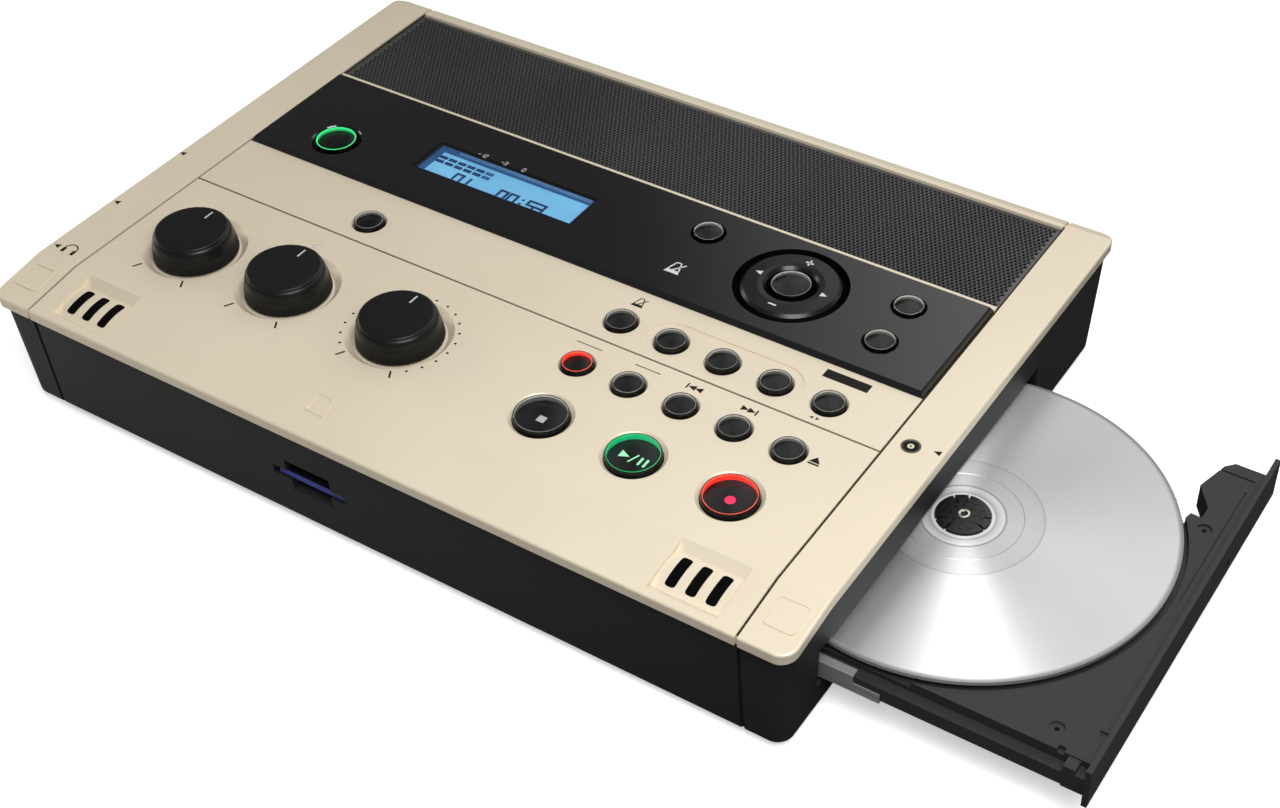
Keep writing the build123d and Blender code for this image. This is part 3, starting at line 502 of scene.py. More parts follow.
def buildGrille(g):
    top, pitch, rowPitch, sides = g["top"], g["pitch"], g["row"], g["sides"]
    columns = int((g["right"] - g["left"] - 2 * g["margin"]) / pitch)
    rows = int((g["rear"] - g["front"] - 2 * g["margin"]) / rowPitch)
    x0 = (g["left"] + g["right"] - columns * pitch) / 2
    y0 = (g["front"] + g["rear"] - rows * rowPitch) / 2
    halfX, halfY = pitch / 2, rowPitch / 2
    turns = [2 * pi * (k + 0.5) / sides for k in range(sides)]
    edge = []      # points on a cell's border, one beside each point of its hole
    for turn in turns:
        reach = min(halfX / max(abs(cos(turn)), nearZero), halfY / max(abs(sin(turn)), nearZero))
        edge.append((reach * cos(turn), reach * sin(turn)))
    hole = [(g["hole"] * cos(turn), g["hole"] * sin(turn)) for turn in turns]
    points, faces = [], []
    for row in range(rows):
        shift = halfX if row % 2 else 0
        for column in range(columns - (row % 2)):
            cx = x0 + halfX + shift + column * pitch
            cy = y0 + halfY + row * rowPitch
            base = len(points)
            for outline, z in ((edge, top), (hole, top), (hole, top - g["sheet"])):
                points += [(cx + u, cy + v, z) for u, v in outline]
            for k in range(sides):
                n = (k + 1) % sides
                a, b = base + sides, base + 2 * sides
                faces += [(base + k, base + n, a + n, a + k), (a + k, a + n, b + n, b + k)]
    xEnd, yEnd = x0 + columns * pitch, y0 + rows * rowPitch
    frames = [(g["left"], g["right"], g["front"], y0), (g["left"], g["right"], yEnd, g["rear"]),
              (g["left"], x0, y0, yEnd), (xEnd, g["right"], y0, yEnd)]
    for row in range(1, rows, 2):
        low, high = y0 + row * rowPitch, y0 + (row + 1) * rowPitch
        frames += [(x0, x0 + halfX, low, high), (xEnd - halfX, xEnd, low, high)]
    for xa, xb, ya, yb in frames:
        base = len(points)
        points += [(xa, ya, top), (xb, ya, top), (xb, yb, top), (xa, yb, top)]
        faces.append((base, base + 1, base + 2, base + 3))
    return points, faces


grillePoints, grilleFaces = buildGrille(grille)
makePiece("perforatedGrille", grillePoints, grilleFaces, "grille", "case", "grille_steel",
          replaced=["speaker_grille"])

cloth = {"halfX": 125.0, "front": 148.0, "rear": 192.5, "top": 40.78}
clothPoints = [(side * cloth["halfX"], cloth[edge], cloth["top"])
               for side, edge in ((-1, "front"), (1, "front"), (1, "rear"), (-1, "rear"))]
makePiece("grilleCloth", clothPoints, [(0, 1, 2, 3)], "cloth", "case", "grille_steel")
print("grille built:", len(grilleFaces), "faces")


# Knobs: knurled skirt, sloping shoulder, raised cap, pointer

knob = {"y": 47.3, "ribs": 96, "ribSteps": 6, "ribDepth": 0.16, "ribSink": 0.2,
        "pointerFrom": 6.0, "pointerTo": 9.6, "pointerWidth": 0.6, "pointerLevel": 49.75}
knobPlaces = {"mic": -100.2, "line": -62.5, "volume": -19.3}
knobProfile = [(0, 46.8), (10.1, 46.8), (11.4, 41.0), (13.0, 41.0), (13.2, 41.3), (12.98, 43.0),
               (12.8, 44.4), (12.68, 45.3), (12.62, 45.5), (12.45, 46.6), (12.2, 47.7), (11.95, 48.3),
               (11.6, 48.75), (11.42, 48.85), (11.42, 49.3), (11.32, 49.52), (11.05, 49.68),
               (10.5, 49.74), (6.0, 49.74), (0, 49.74)]
knurled = (4, 5, 6, 7)      # points of the profile that have ribs


def knurl(step, turn):
    if step not in knurled:
        return 0
    return knob["ribDepth"] * ((1 + cos(knob["ribs"] * turn)) / 2 - knob["ribSink"])


for name, x in knobPlaces.items():
    points, faces = lathe((x, knob["y"]), knobProfile, knob["ribs"] * knob["ribSteps"], knurl)
    body = name + "_control"
    makePiece(name + "KnobBody", points, faces, "knob", body, "knob_plastic", True, [name + "_knob"])
    pointer = inkBar((x, knob["y"] + knob["pointerFrom"]), (x, knob["y"] + knob["pointerTo"]),
                     knob["pointerWidth"], knob["pointerLevel"])
    makePiece(name + "Pointer", *pointer, "pointer", body, "knob_plastic")
print("knobs built")


# Buttons: a clear cap over a dark core, with a lining that is lit in some and given a painted glow in the
# others

buttonLook = {"edge": 0.5, "edgeRound": 0.3, "skirt": 4.4, "coreLift": 0.2, "coreInset": 0.45, "coreWall": 0.04,
              "liningTop": 0.3, "rimLift": 0.02, "rim": 0.85, "smallDeep": 2.5, "bigDeep": 3.4, "bigFrom": 8,
              "linings": {"lining": 0.06, "red": 0.16, "playGreen": 0.16, "green": 0.34}}


def tubeForm(centre, inner, outer, low, high):
    return lathe(centre, [(inner, low), (outer, low), (outer, high), (inner, high), (inner, low)])


def clearCap(centre, radius, top, look):
    low, edge = top - look["skirt"], look["edge"]
    bevel = edge * look["edgeRound"]
    return lathe(centre, [(0, low), (radius, low), (radius, top - edge), (radius - bevel, top - bevel),
                          (radius - edge, top), (0, top)])


def darkCore(centre, radius, top, coreTop, look):
    low = top - look["skirt"] + look["coreLift"]
    high = top - look["liningTop"]
    outer = radius - look["coreInset"]
    inner = outer - look["coreWall"]
    return lathe(centre, [(0, low), (outer, low), (outer, high), (inner, high), (inner, coreTop), (0, coreTop)])


def makeButton(node, centre, radius, top, light="lining", look=buttonLook):
    title = node.replace("_", " ").title().replace(" ", "")
    title = title[0].lower() + title[1:]
    coreTop = top - (look["bigDeep"] if radius > look["bigFrom"] else look["smallDeep"])
    core = darkCore(centre, radius, top, coreTop, look)
    makePiece(title + "Core", *core, "core", node, "button_clear", True, [node])
    cap = clearCap(centre, radius, top, look)
    makePiece(title + "Cap", *cap, "clear", node, "button_clear", True)
    outer = radius - look["coreInset"] - look["coreWall"]
    inner = outer - look["linings"][light]
    high = top - look["liningTop"] + look["rimLift"]
    split = high - look["rim"]
    # the rim is the top band of the lining; in the unlit buttons its brighter glow is a painted highlight
    for part, finish, low, end in (("Lining", light, coreTop, split), ("Rim", light + "Rim", split, high)):
        tube = tubeForm(centre, inner, outer, low, end)
        makePiece(title + part, *tube, finish, node, "button_clear", True)


guidePlace = (-61.9, 85.0)
smallColumns = (33.4, 51.0, 68.6, 86.2, 103.7)
upperRow, lowerRow, bigRow = 85.1, 62.75, 39.5
smallRadius, smallTop = 4.85, deckHeight + 1.2
bigRadius, bigTop = 8.07, deckHeight + 1.0
lowerNames = ("mode_button_1", "mode_button_2", "back_button", "forward_button", "eject_button")
bigButtons = {"stop_button": (37.4, "lining"), "play_button": (68.4, "playGreen"),
              "record_button": (99.4, "red")}
plateButtons = {      # centre, radius, height over the plate, light
    "power_button": ((-98.8, 113.1), 7.0, 0.7, "green"),
    "speaker_button": ((33.7, 132.9), 4.9, 1.0, "lining"),
    "menu_button": ((103.5, 132.5), smallRadius, 1.0, "lining"),
    "exit_button": ((103.8, 114.25), smallRadius, 1.0, "lining"),
    "enter_button": ((68.7, 123.6), 6.4, 0.9, "lining"),
}
makeButton("guide_button", guidePlace, smallRadius, smallTop)
for number, x in enumerate(smallColumns, 1):
    makeButton("function_button_%d" % number, (x, upperRow), smallRadius, smallTop)
for node, x in zip(lowerNames, smallColumns):
    makeButton(node, (x, lowerRow), smallRadius, smallTop, "red" if node == "mode_button_1" else "lining")
for node, (x, light) in bigButtons.items():
    makeButton(node, (x, bigRow), bigRadius, bigTop, light)
for node, (centre, radius, height, light) in plateButtons.items():
    makeButton(node, centre, radius, plateTop + height, light)
print("buttons built")


# Printed marks on the deck: ticks and dots round the knobs, lines, skip and eject signs, a blank label

dial = {"ticks": (240, 300), "tickFrom": 17.0, "tickTo": 20.0, "tickWidth": 0.6,
        "dots": range(-45, 226, 15), "dotReach": 17.6, "dotSize": 0.42, "dotSides": 10}
skip = {"places": ((68.0, -1), (86.0, 1)), "y": 71.25, "size": 2.4, "near": 1.3, "far": 0.9,
        "bar": 2.4, "barHalf": 1.15, "barWidth": 0.5}
modeLines = {"spans": ((27.4, 36.2), (47.8, 56.4)), "y": 71.25, "width": 0.3}
eject = {"x": 112.0, "y": 63.4, "size": 2.3, "squash": 1.5, "barY": 61.6, "barHalf": 1.7, "barWidth": 0.6}
smallArrows = ((102.1, 77.8, 180), (104.1, 77.9, 0))
smallArrowSize = 1.2
labelPlate = (96.0, 94.4, 110.5, 97.9)
metronomeSign = {"foot": [(-2.0, -2.0), (2.0, -2.0), (1.55, -0.9), (-1.55, -0.9)],
                 "body": [(-1.5, -1.0), (-0.6, 2.0), (0.6, 2.0), (1.5, -1.0)],
                 "arm": [(-0.2, -0.9), (2.0, 1.9)], "stroke": 0.35}
deckMetronome = {"x": 33.3, "y": 95.2, "level": deckHeight}
plateMetronome = {"x": 34.4, "y": 112.9, "level": plateTop, "size": 1.3}


def dialMarks(d):
    marks = []
    for x in knobPlaces.values():
        for turn in d["ticks"]:
            c, s = cos(radians(turn)), sin(radians(turn))
            marks.append(inkBar((x + d["tickFrom"] * c, knob["y"] + d["tickFrom"] * s),
                                (x + d["tickTo"] * c, knob["y"] + d["tickTo"] * s), d["tickWidth"]))
    for degrees in d["dots"]:
        turn = radians(degrees)
        x, y = knobPlaces["volume"] + d["dotReach"] * cos(turn), knob["y"] + d["dotReach"] * sin(turn)
        marks.append(inkDot(x, y, d["dotSize"], count=d["dotSides"]))
    return marks


def skipMarks(k):
    marks = []
    for x, side in k["places"]:
        turn = 180 if side < 0 else 0
        bar = x + side * k["bar"]
        marks += [inkArrow(x - side * k["near"], k["y"], k["size"], turn),
                  inkArrow(x + side * k["far"], k["y"], k["size"], turn),
                  inkBar((bar, k["y"] - k["barHalf"]), (bar, k["y"] + k["barHalf"]), k["barWidth"])]
    return marks


def ejectMarks(e):
    return [inkArrow(e["x"], e["y"], e["size"], 90, squash=e["squash"]),
            inkBar((e["x"] - e["barHalf"], e["barY"]), (e["x"] + e["barHalf"], e["barY"]), e["barWidth"])]


def metronome(x, y, level, size=1.0, sign=metronomeSign):
    foot, body, arm = [[(x + u * size, y + v * size) for u, v in sign[part]]
                       for part in ("foot", "body", "arm")]
    stroke = sign["stroke"] * size
    return [inkShape(foot, level), inkBars(body, stroke, level), inkBar(*arm, stroke, level)]


marks = dialMarks(dial)
for xa, xb in modeLines["spans"]:
    marks.append(inkBar((xa, modeLines["y"]), (xb, modeLines["y"]), modeLines["width"]))
marks += skipMarks(skip) + ejectMarks(eject)
marks += [inkArrow(x, y, smallArrowSize, turn) for x, y, turn in smallArrows]
marks.append(inkBox(*labelPlate))
marks += metronome(**deckMetronome)
printed("deckMarks", marks)


# Signs on the rails: arrows, headphones on the left one, a disc on the right one

railArrows = ((-138.2, 25.7), (-138.6, 52.0), (-139.4, 83.0), (138.6, 82.9))
arrowSize = 2.2
headphones = {"x": -133.0, "y": 26.4, "radius": 2.2, "stroke": 0.45, "turns": (-20, 200), "steps": 20,
              "padReach": 2.0, "padHalf": 0.6, "padFrom": -2.2, "padTo": -0.1}
discSign = {"x": 131.3, "y": 81.5, "radius": 1.95, "stroke": 1.9, "dot": 0.35}


def headphoneMarks(h):
    marks = [inkRing(h["x"], h["y"], h["radius"], h["stroke"], *h["turns"], h["steps"])]
    for side in (-1, 1):
        x = h["x"] + side * h["padReach"]
        marks.append(inkBox(x - h["padHalf"], h["y"] + h["padFrom"], x + h["padHalf"], h["y"] + h["padTo"]))
    return marks


railMarks = [inkArrow(x, y, arrowSize, 180) for x, y in railArrows] + headphoneMarks(headphones)
railMarks += [inkRing(discSign["x"], discSign["y"], discSign["radius"], discSign["stroke"]),
              inkDot(discSign["x"], discSign["y"], discSign["dot"])]
printed("railMarks", railMarks)
printed("plateMarks", metronome(**plateMetronome), "whitePrint", slot="gloss_black")


# Signs on the ring and in the three big buttons

ringSigns = {"top": plateTop + 0.69, "plus": (68.6, 134.9), "minus": (68.8, 112.3), "half": 1.3, "stroke": 0.6,
             "arrows": ((57.5, 123.5, 180), (79.9, 123.6, 0))}


def ringMarks(r):
    half, stroke, top = r["half"], r["stroke"], r["top"]
    marks = [inkBar((x - half, y), (x + half, y), stroke, top) for x, y in (r["plus"], r["minus"])]
    x, y = r["plus"]
    marks.append(inkBar((x, y - half), (x, y + half), stroke, top))
    return marks + [inkArrow(u, v, arrowSize, turn, top) for u, v, turn in r["arrows"]]


printed("ringMarks", ringMarks(ringSigns), "whitePrint", "nav", "ring_plastic")

coreTop = bigTop - buttonLook["bigDeep"]
stopSquare = (36.2, 38.3, 38.6, 40.7)
playSign = {"x": 65.6, "size": 2.9, "slash": ((67.6, 37.7), (69.0, 41.3)), "slashWidth": 0.45,
            "pause": (70.5, 72.2), "pauseHalf": 1.5, "pauseWidth": 0.7}
recordDot = (99.4, bigRow, 1.5)
printed("stopMark", [inkBox(*stopSquare, coreTop)], "whitePrint", "stop_button", "button_clear")
playMarks = [inkArrow(playSign["x"], bigRow, playSign["size"], 0, coreTop),
             inkBar(*playSign["slash"], playSign["slashWidth"], coreTop)]
playMarks += [inkBar((x, bigRow - playSign["pauseHalf"]), (x, bigRow + playSign["pauseHalf"]),
                     playSign["pauseWidth"], coreTop) for x in playSign["pause"]]
printed("playMarks", playMarks, "playMark", "play_button", "button_clear")
printed("recordMark", [inkDot(*recordDot, coreTop)], "recordDot", "record_button", "button_clear")


# Outlines raised on the sloping nose: a rounded square on each rail and a card between them

noseSquare = {"x": 133.5, "y": 11.7, "halfX": 4.5, "halfY": 4.65, "corner": 1.2, "width": 0.42}
noseCard = {"path": [(-22.6, 8.6), (-16.6, 8.6), (-16.6, 13.4), (-18.2, 15.1), (-22.6, 15.1), (-22.6, 8.6)],
            "width": 0.38}
noseRise = 0.3
cornerSteps = 4


def roundedOutline(x, y, halfX, halfY, radius):
    path = []
    for cx, cy, start in ((1, 1, 0), (-1, 1, 90), (-1, -1, 180), (1, -1, 270)):
        for step in range(cornerSteps + 1):
            turn = radians(start + 90 / cornerSteps * step)
            path.append((x + cx * (halfX - radius) + radius * cos(turn),
                         y + cy * (halfY - radius) + radius * sin(turn)))
    return path + [path[0]]


noseMarks = []
for side in (-1, 1):
    n = noseSquare
    outline = roundedOutline(side * n["x"], n["y"], n["halfX"], n["halfY"], n["corner"])
    noseMarks.append(inkBars(outline, n["width"], slopeHeight, noseRise))
noseMarks.append(inkBars(noseCard["path"], noseCard["width"], slopeHeight, noseRise))
printed("noseOutlines", noseMarks, "champagne")
print("marks built")


# Dark liner under the ring's groove

linerSize = {"centre": (68.7, 123.6), "inner": 16.0, "outer": 17.9, "wall": 0.15, "low": 38.5, "floor": 39.0,
             "high": 42.0, "count": 96}


def ringLiner(n):
    thin = n["outer"] - n["wall"]
    profile = [(n["inner"], n["low"]), (n["outer"], n["low"]), (n["outer"], n["high"]), (thin, n["high"]),
               (thin, n["floor"]), (n["inner"], n["floor"]), (n["inner"], n["low"])]
    return lathe(n["centre"], profile, n["count"])


makePiece("ringLiner", *ringLiner(linerSize), "cloth", "case", "gloss_black", True)


# Mesh in the slots of the two pockets

pocket = {"centre": 107.6, "slotPitch": 6.2, "halfWidth": 1.6, "from": 6.2, "to": 16.1, "floorFrom": 4.8,
          "floorTo": 17.4, "endDrop": 1.9, "middleDrop": 0.8, "above": 0.03, "corner": 0.9, "steps": 40}


def slotStrip(centreX, p=pocket):
    # rounded strip that follows the pocket's arched floor
    middle, reach = (p["floorFrom"] + p["floorTo"]) / 2, (p["floorTo"] - p["floorFrom"]) / 2
    points, faces = [], []
    for step in range(p["steps"] + 1):
        y = p["from"] + (p["to"] - p["from"]) * step / p["steps"]
        inset = max(0.0, p["corner"] - min(y - p["from"], p["to"] - y))
        half = p["halfWidth"] - p["corner"] + (p["corner"] ** 2 - inset ** 2) ** 0.5
        arch = 1 - ((y - middle) / reach) ** 2
        z = slopeHeight(y) - p["endDrop"] + (p["endDrop"] - p["middleDrop"]) * arch + p["above"]
        points += [(centreX - half, y, z), (centreX + half, y, z)]
    for step in range(p["steps"]):
        k = 2 * step
        faces.append((k, k + 1, k + 3, k + 2))
    return points, faces


strips = [slotStrip(side * pocket["centre"] + step * pocket["slotPitch"])
          for side in (-1, 1) for step in (-1, 0, 1)]
printed("pocketMesh", strips, "cloth", slot="mesh")
print("liner and pocket mesh built")


# Shade at the bottom of the trim's seams

seam = {"x": 125.35, "from": 1.0, "to": 194.0, "width": 0.76, "sink": 0.65, "rise": 0.1,
        "crossY": 75.3, "crossHalf": 124.9, "crossWidth": 0.66, "crossSink": 0.46}


def seamShade(s):
    parts = []
    for side in (-1, 1):
        x = side * s["x"]
        for ya, yb in ((s["from"], creaseRun), (creaseRun, s["to"])):
            parts.append(inkBar((x, ya), (x, yb), s["width"], lambda y: slopeHeight(y) - s["sink"], s["rise"]))
    parts.append(inkBar((-s["crossHalf"], s["crossY"]), (s["crossHalf"], s["crossY"]), s["crossWidth"],
                        deckHeight - s["crossSink"]))
    return parts


printed("seamShade", seamShade(seam), "seam")


# Display: lit glass with a level meter and plain numbers

displayLevel = plateTop - 3.5             # the lit glass lies this far below the plate
figureLevel = displayLevel + 0.02
display = {"left": -66.2, "meterY": 126.4, "rowGap": 2.25, "block": 3.1, "gap": 0.63, "bar": 1.5, "blocks": 5,
           "figureY": 117.0, "colon": ((-28.2, 118.4), (-28.2, 120.5)), "colonDot": 0.5,
           "figures": ((-55.1, "0"), (-52.1, "1"), (-37.3, "0"), (-33.3, "0"), (-25.9, "5"), (-22.4, "3"))}
levelNumbers = {"y": 129.9, "step": 1.3, "texts": ((-53.4, "-12"), (-44.0, "-3"), (-35.6, "0"))}
bigFigure = {"width": 2.7, "height": 4.4, "stroke": 0.95}
smallFigure = {"width": 0.85, "height": 1.7, "stroke": 0.2}
segments = {"0": "abcdef", "1": "bc", "2": "abged", "3": "abcdg", "5": "acdfg", "-": "g"}


def figureBars(x, y, figure, size, level):
    # a figure made of straight strokes, named a to g as on a seven-stroke display
    w, h, half = size["width"], size["height"], size["stroke"] / 2
    ends = {"a": ((0, h), (w, h)), "b": ((w, h), (w, h / 2)), "c": ((w, h / 2), (w, 0)), "d": ((0, 0), (w, 0)),
            "e": ((0, 0), (0, h / 2)), "f": ((0, h / 2), (0, h)), "g": ((0, h / 2), (w, h / 2))}
    bars = []
    for stroke in segments[figure]:
        (xa, ya), (xb, yb) = ends[stroke]
        if ya == yb:
            xa, xb = xa - half, xb + half
        bars.append(inkBar((x + xa, y + ya), (x + xb, y + yb), size["stroke"], level))
    return bars


meter, faded = [], []
for number in range(display["blocks"] + 1):
    for row in (0, 1):
        x = display["left"] + number * (display["block"] + display["gap"])
        y = display["meterY"] - row * display["rowGap"]
        bar = inkBar((x, y), (x + display["block"], y), display["bar"], figureLevel)
        (faded if number == display["blocks"] else meter).append(bar)
for x, figure in display["figures"]:
    meter += figureBars(x, display["figureY"], figure, bigFigure, figureLevel)
meter += [inkDot(x, y, display["colonDot"], figureLevel) for x, y in display["colon"]]
printed("displayFigures", meter, "segment", slot="display_glass")
printed("displayFaded", faded, "fadedSegment", slot="display_glass")

levelMarks = []
for x, text in levelNumbers["texts"]:
    for number, figure in enumerate(text):
        start = x + number * levelNumbers["step"]
        levelMarks += figureBars(start, levelNumbers["y"], figure, smallFigure, plateTop)
printed("levelNumbers", levelMarks, "whitePrint", slot="gloss_black")


# Lit side walls of the display, and two fine lines on the rear one

windowEdge = {"left": -66.35, "right": -6.35, "front": 115.15, "rear": 128.95, "low": displayLevel + 0.03,
              "high": 43.3, "thick": 0.12}
wallLines = {"from": -59.5, "to": -7.0, "heights": (42.2, 42.85), "height": 0.16, "thick": 0.04}


def wallBox(xa, xb, ya, yb, za, zb):
    points = [(x, y, z) for z in (za, zb) for x, y in ((xa, ya), (xb, ya), (xb, yb), (xa, yb))]
    faces = [(3, 2, 1, 0), (4, 5, 6, 7), (0, 1, 5, 4), (1, 2, 6, 5), (2, 3, 7, 6), (3, 0, 4, 7)]
    return points, faces


def displayWalls(w):
    t, left, right, front, rear = w["thick"], w["left"], w["right"], w["front"], w["rear"]
    sides = ((left, right, rear - t, rear), (left, right, front, front + t),
             (left, left + t, front, rear), (right - t, right, front, rear))
    return [wallBox(*side, w["low"], w["high"]) for side in sides]


def displayLines(n):
    y = windowEdge["rear"] - windowEdge["thick"]
    return [wallBox(n["from"], n["to"], y - n["thick"], y, z, z + n["height"]) for z in n["heights"]]


printed("displayWalls", displayWalls(windowEdge), "displayWall", slot="display_glass")
printed("displayLines", displayLines(wallLines), "displayLine", slot="display_glass")
print("display built")


# Disc: mirror layer, clear centre, fine grooves

discLook = {"centre": (147.3, 84.3), "span": 60.0, "grain": 1600.0, "drift": 30.0, "rough": (0.42, 0.46),
            "sockets": {"Anisotropic": 0.9, "Anisotropic Rotation": 0.25, "Coat Weight": 0.15,
                        "Coat Roughness": 0.08}}
discZones = [      # radius, colour, metal; the dark ring at 11.9 mm is a painted shadow line round the clear centre
    (7.5, "#D0D1D2", 0.2), (8.6, "#DEDFE0", 0.2), (9.2, "#A0A1A2", 0.3), (9.7, "#C6C7C8", 0.3),
    (11.5, "#DCDDDE", 0.3), (11.9, "#767778", 0.3), (12.3, "#CDCED0", 0.5), (16.9, "#D0D1D2", 0.6),
    (17.1, "#C8C9CA", 0.6), (17.4, "#D2D3D4", 0.6), (22.3, "#D4D5D6", 0.7), (22.5, "#B0B1B2", 0.7),
    (22.8, "#E0E1E2", 0.8), (58.4, "#E2E3E4", 0.8), (58.8, "#C4C5C6", 0.6), (59.4, "#8C8D8E", 0.4)]


def radialDistance(tree, centre):
    # distance from the centre's upright axis, in mm
    coordinates = addNode(tree, "ShaderNodeTexCoord")
    shift = addNode(tree, "ShaderNodeVectorMath", operation="SUBTRACT")
    shift.inputs[1].default_value = place(*centre, 0)
    flat = addNode(tree, "ShaderNodeVectorMath", operation="MULTIPLY")
    flat.inputs[1].default_value = (1 / mm, 1 / mm, 0)
    length = addNode(tree, "ShaderNodeVectorMath", operation="LENGTH")
    link(tree, coordinates.outputs["Object"], shift.inputs[0])
    link(tree, shift.outputs["Vector"], flat.inputs[0])
    link(tree, flat.outputs["Vector"], length.inputs[0])
    return length.outputs["Value"]


def ramp(tree, value, span, stops):
    colours = addNode(tree, "ShaderNodeValToRGB")
    fillRamp(colours, [(where / span, colour) for where, colour in stops])
    link(tree, mapRange(tree, value, {"From Max": span}), colours.inputs["Fac"])
    return colours.outputs["Color"]


def buildDiscMaterial(d=discLook):
    material, tree, shader = freshMaterial("discMirror")
    radius = radialDistance(tree, d["centre"])
    colourStops = [(r, linear(colour)) for r, colour, metal in discZones]
    metalStops = [(r, [metal] * 3 + [1]) for r, colour, metal in discZones]
    link(tree, ramp(tree, radius, d["span"], colourStops), shader.inputs["Base Color"])
    link(tree, ramp(tree, radius, d["span"], metalStops), shader.inputs["Metallic"])
    drift = useGrain(tree, d["grain"], d["drift"])[1]
    link(tree, rangeOf(tree, drift, *d["rough"]), shader.inputs["Roughness"])
    setInputs(shader, d["sockets"])
    tangent = addNode(tree, "ShaderNodeTangent", direction_type="RADIAL", axis="Z")
    link(tree, tangent.outputs["Tangent"], shader.inputs["Tangent"])
    return material


finishes["disc"] = buildDiscMaterial()
dressNode("disc", "disc")
print("disc dressed")


# Pin and pads on the hub

hub = {"top": 22.45, "padWidth": 0.75, "padRise": 0.16,
       "pads": ((8, 3.4, 0.42), (12, 5.4, 0.5)),      # count, radius, half length
       "pin": ((0.75, 0.1), (1.85, 0.1), (1.85, 0.28), (1.5, 0.34), (0.95, 0.34), (0.75, 0.22), (0.75, 0.1)),
       "pinCount": 32}
pinProfile = [(radius, hub["top"] + height) for radius, height in hub["pin"]]
hubPin = lathe(discLook["centre"], pinProfile, hub["pinCount"])
makePiece("hubPin", *hubPin, "plated", "spinner", "steel", True)


def hubPads(h):
    x, y = discLook["centre"]
    parts = []
    for count, radius, half in h["pads"]:
        for step in range(count):
            turn = 2 * pi * (step + 0.5) / count
            ends = [(x + reach * cos(turn), y + reach * sin(turn)) for reach in (radius - half, radius + half)]
            parts.append(inkBar(*ends, h["padWidth"], h["top"], h["padRise"]))
    return parts


printed("hubPads", hubPads(hub), "core", "spinner", "hub_plastic")


# Floor, light and camera

floorLook = {"half": 6.0, "grain": 200.0, "drift": 4.0, "seen": ("#F2F2F1", "#F8F8F7"),
             "dim": (0.08, 0.08, 0.08, 1), "dimFrom": -0.32, "dimTo": 0.12, "rough": (0.7, 0.8),
             "depth": 0.02, "glow": 0.5}


def buildFloor(f=floorLook):
    # as seen it is pale all over; what falls on the object from it grows dim toward the disc side
    half, low = f["half"], cadBox[0][2]
    mesh = bpy.data.meshes.new("studioFloor")
    mesh.from_pydata([(-half, -half, low), (half, -half, low), (half, half, low), (-half, half, low)], [],
                     [(0, 1, 2, 3)])
    floor = bpy.data.objects.new("studioFloor", mesh)
    bpy.context.scene.collection.objects.link(floor)
    material, tree, shader = freshMaterial("floorPaint")
    height, drift = useGrain(tree, f["grain"], f["drift"])
    seen = mixColours(tree, drift, *map(linear, f["seen"]))
    position = addNode(tree, "ShaderNodeTexCoord")
    split = addNode(tree, "ShaderNodeSeparateXYZ")
    link(tree, position.outputs["Object"], split.inputs["Vector"])
    across = mapRange(tree, split.outputs["X"], {"From Min": f["dimFrom"], "From Max": f["dimTo"]})
    mirrored = mixColours(tree, across, white, f["dim"])
    eye = addNode(tree, "ShaderNodeLightPath").outputs["Is Camera Ray"]
    link(tree, mixColours(tree, eye, mirrored, seen), shader.inputs["Base Color"])
    link(tree, rangeOf(tree, drift, *f["rough"]), shader.inputs["Roughness"])
    addBump(tree, shader, height, f["depth"])
    shader.inputs["Emission Color"].default_value = white
    link(tree, rangeOf(tree, eye, 0.0, f["glow"]), shader.inputs["Emission Strength"])
    mesh.materials.append(material)


lights = {
    "keyRight": {"location": (0.30, -0.25, 0.55), "target": (0.05, -0.02, 0.03), "size": 0.35, "power": 3.75,
                 "colour": (1, 1, 1)},
    "sideLeft": {"location": (-0.8, 0.0, 0.25), "target": (-0.05, 0, 0.04), "size": 0.3, "power": 1.1,
                 "colour": (1.0, 0.92, 0.78)},
}


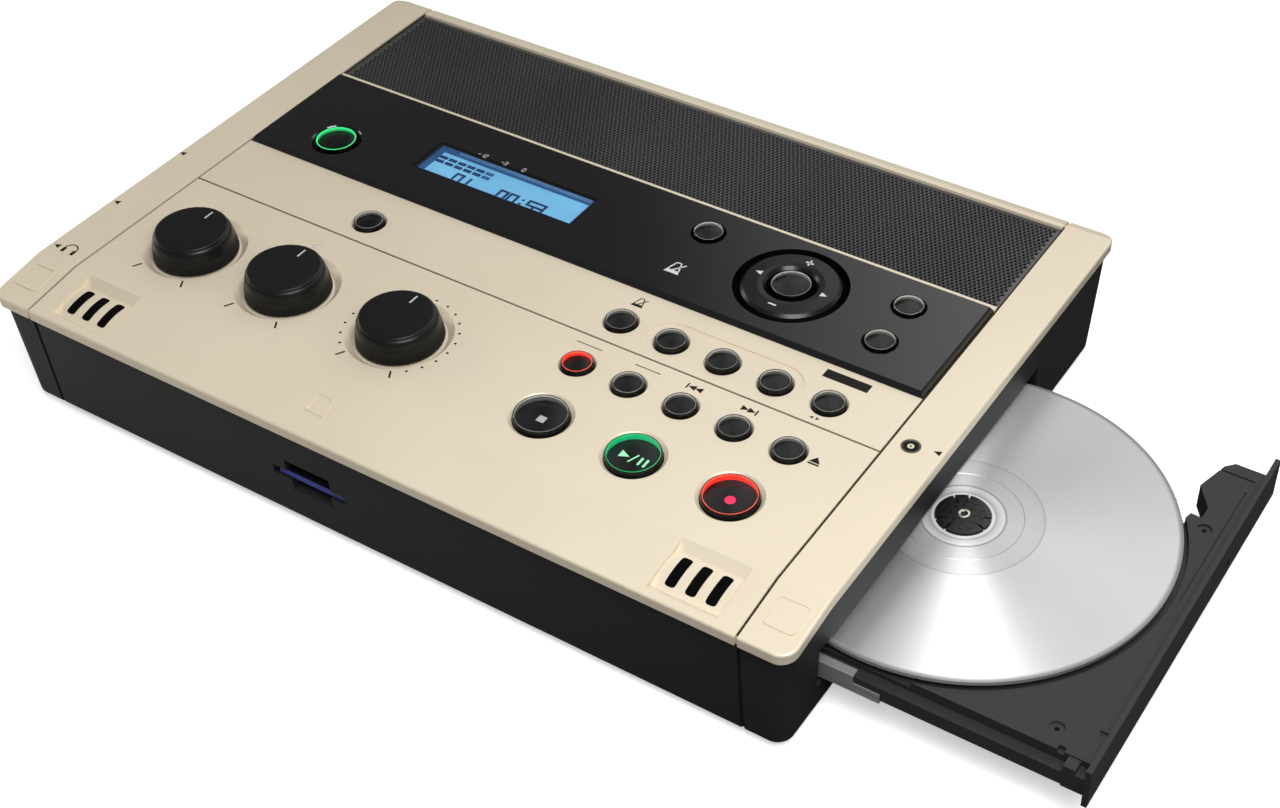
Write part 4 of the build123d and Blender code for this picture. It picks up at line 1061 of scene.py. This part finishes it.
def addLight(name, look):
    data = bpy.data.lights.new(name, "AREA")
    data.shape = "RECTANGLE"
    data.size = data.size_y = look["size"]
    data.energy = look["power"]
    data.color = look["colour"]
    light = bpy.data.objects.new(name, data)
    light.location = look["location"]
    aim = Vector(look["target"]) - Vector(look["location"])
    light.rotation_euler = aim.to_track_quat("-Z", "Y").to_euler()
    bpy.context.scene.collection.objects.link(light)


sky = {"panel": ((40, 0.15), (60, 1.4), (110, 1.4), (125, 0.15)),      # azimuth in degrees, brightness
       "low": (0.2, 0.2, 0.2, 1), "lift": {"From Min": 0.2, "From Max": 0.45}}


def buildStudio():
    # a wide soft panel behind the object, dim all round and near the horizon
    world = bpy.data.worlds.new("studioWorld")
    world.use_nodes = True
    tree = world.node_tree
    direction = addNode(tree, "ShaderNodeTexCoord")
    around = addNode(tree, "ShaderNodeTexGradient", gradient_type="RADIAL")
    panel = addNode(tree, "ShaderNodeValToRGB")
    split = addNode(tree, "ShaderNodeSeparateXYZ")
    link(tree, direction.outputs["Generated"], around.inputs["Vector"])
    link(tree, direction.outputs["Generated"], split.inputs["Vector"])
    link(tree, around.outputs["Fac"], panel.inputs["Fac"])
    fillRamp(panel, [(azimuth / 360 + 0.5, (glow, glow, glow, 1)) for azimuth, glow in sky["panel"]])
    lift = mapRange(tree, split.outputs["Z"], sky["lift"], interpolation_type="SMOOTHSTEP")
    shade = mixColours(tree, lift, sky["low"], panel.outputs["Color"])
    link(tree, shade, tree.nodes["Background"].inputs["Color"])
    bpy.context.scene.world = world
    for name, look in lights.items():
        addLight(name, look)


camera = {"location": (0.301388, -0.377301, 0.412976), "turn": (47.88525, 1.28195, 32.47390),
          "lens": 55.7978, "sensor": 36.0, "shift": (-0.0454245, 0.0068134), "near": 0.01}


def buildCamera(c):
    data = bpy.data.cameras.new("photoCamera")
    data.sensor_width = c["sensor"]
    data.lens = c["lens"]
    data.shift_x, data.shift_y = c["shift"]
    data.clip_start = c["near"]
    eye = bpy.data.objects.new("photoCamera", data)
    eye.location = c["location"]
    eye.rotation_euler = [radians(v) for v in c["turn"]]
    bpy.context.scene.collection.objects.link(eye)
    bpy.context.scene.camera = eye


buildFloor()
buildStudio()
buildCamera(camera)
bpy.context.scene.view_settings.view_transform = "Standard"
print("studio ready")
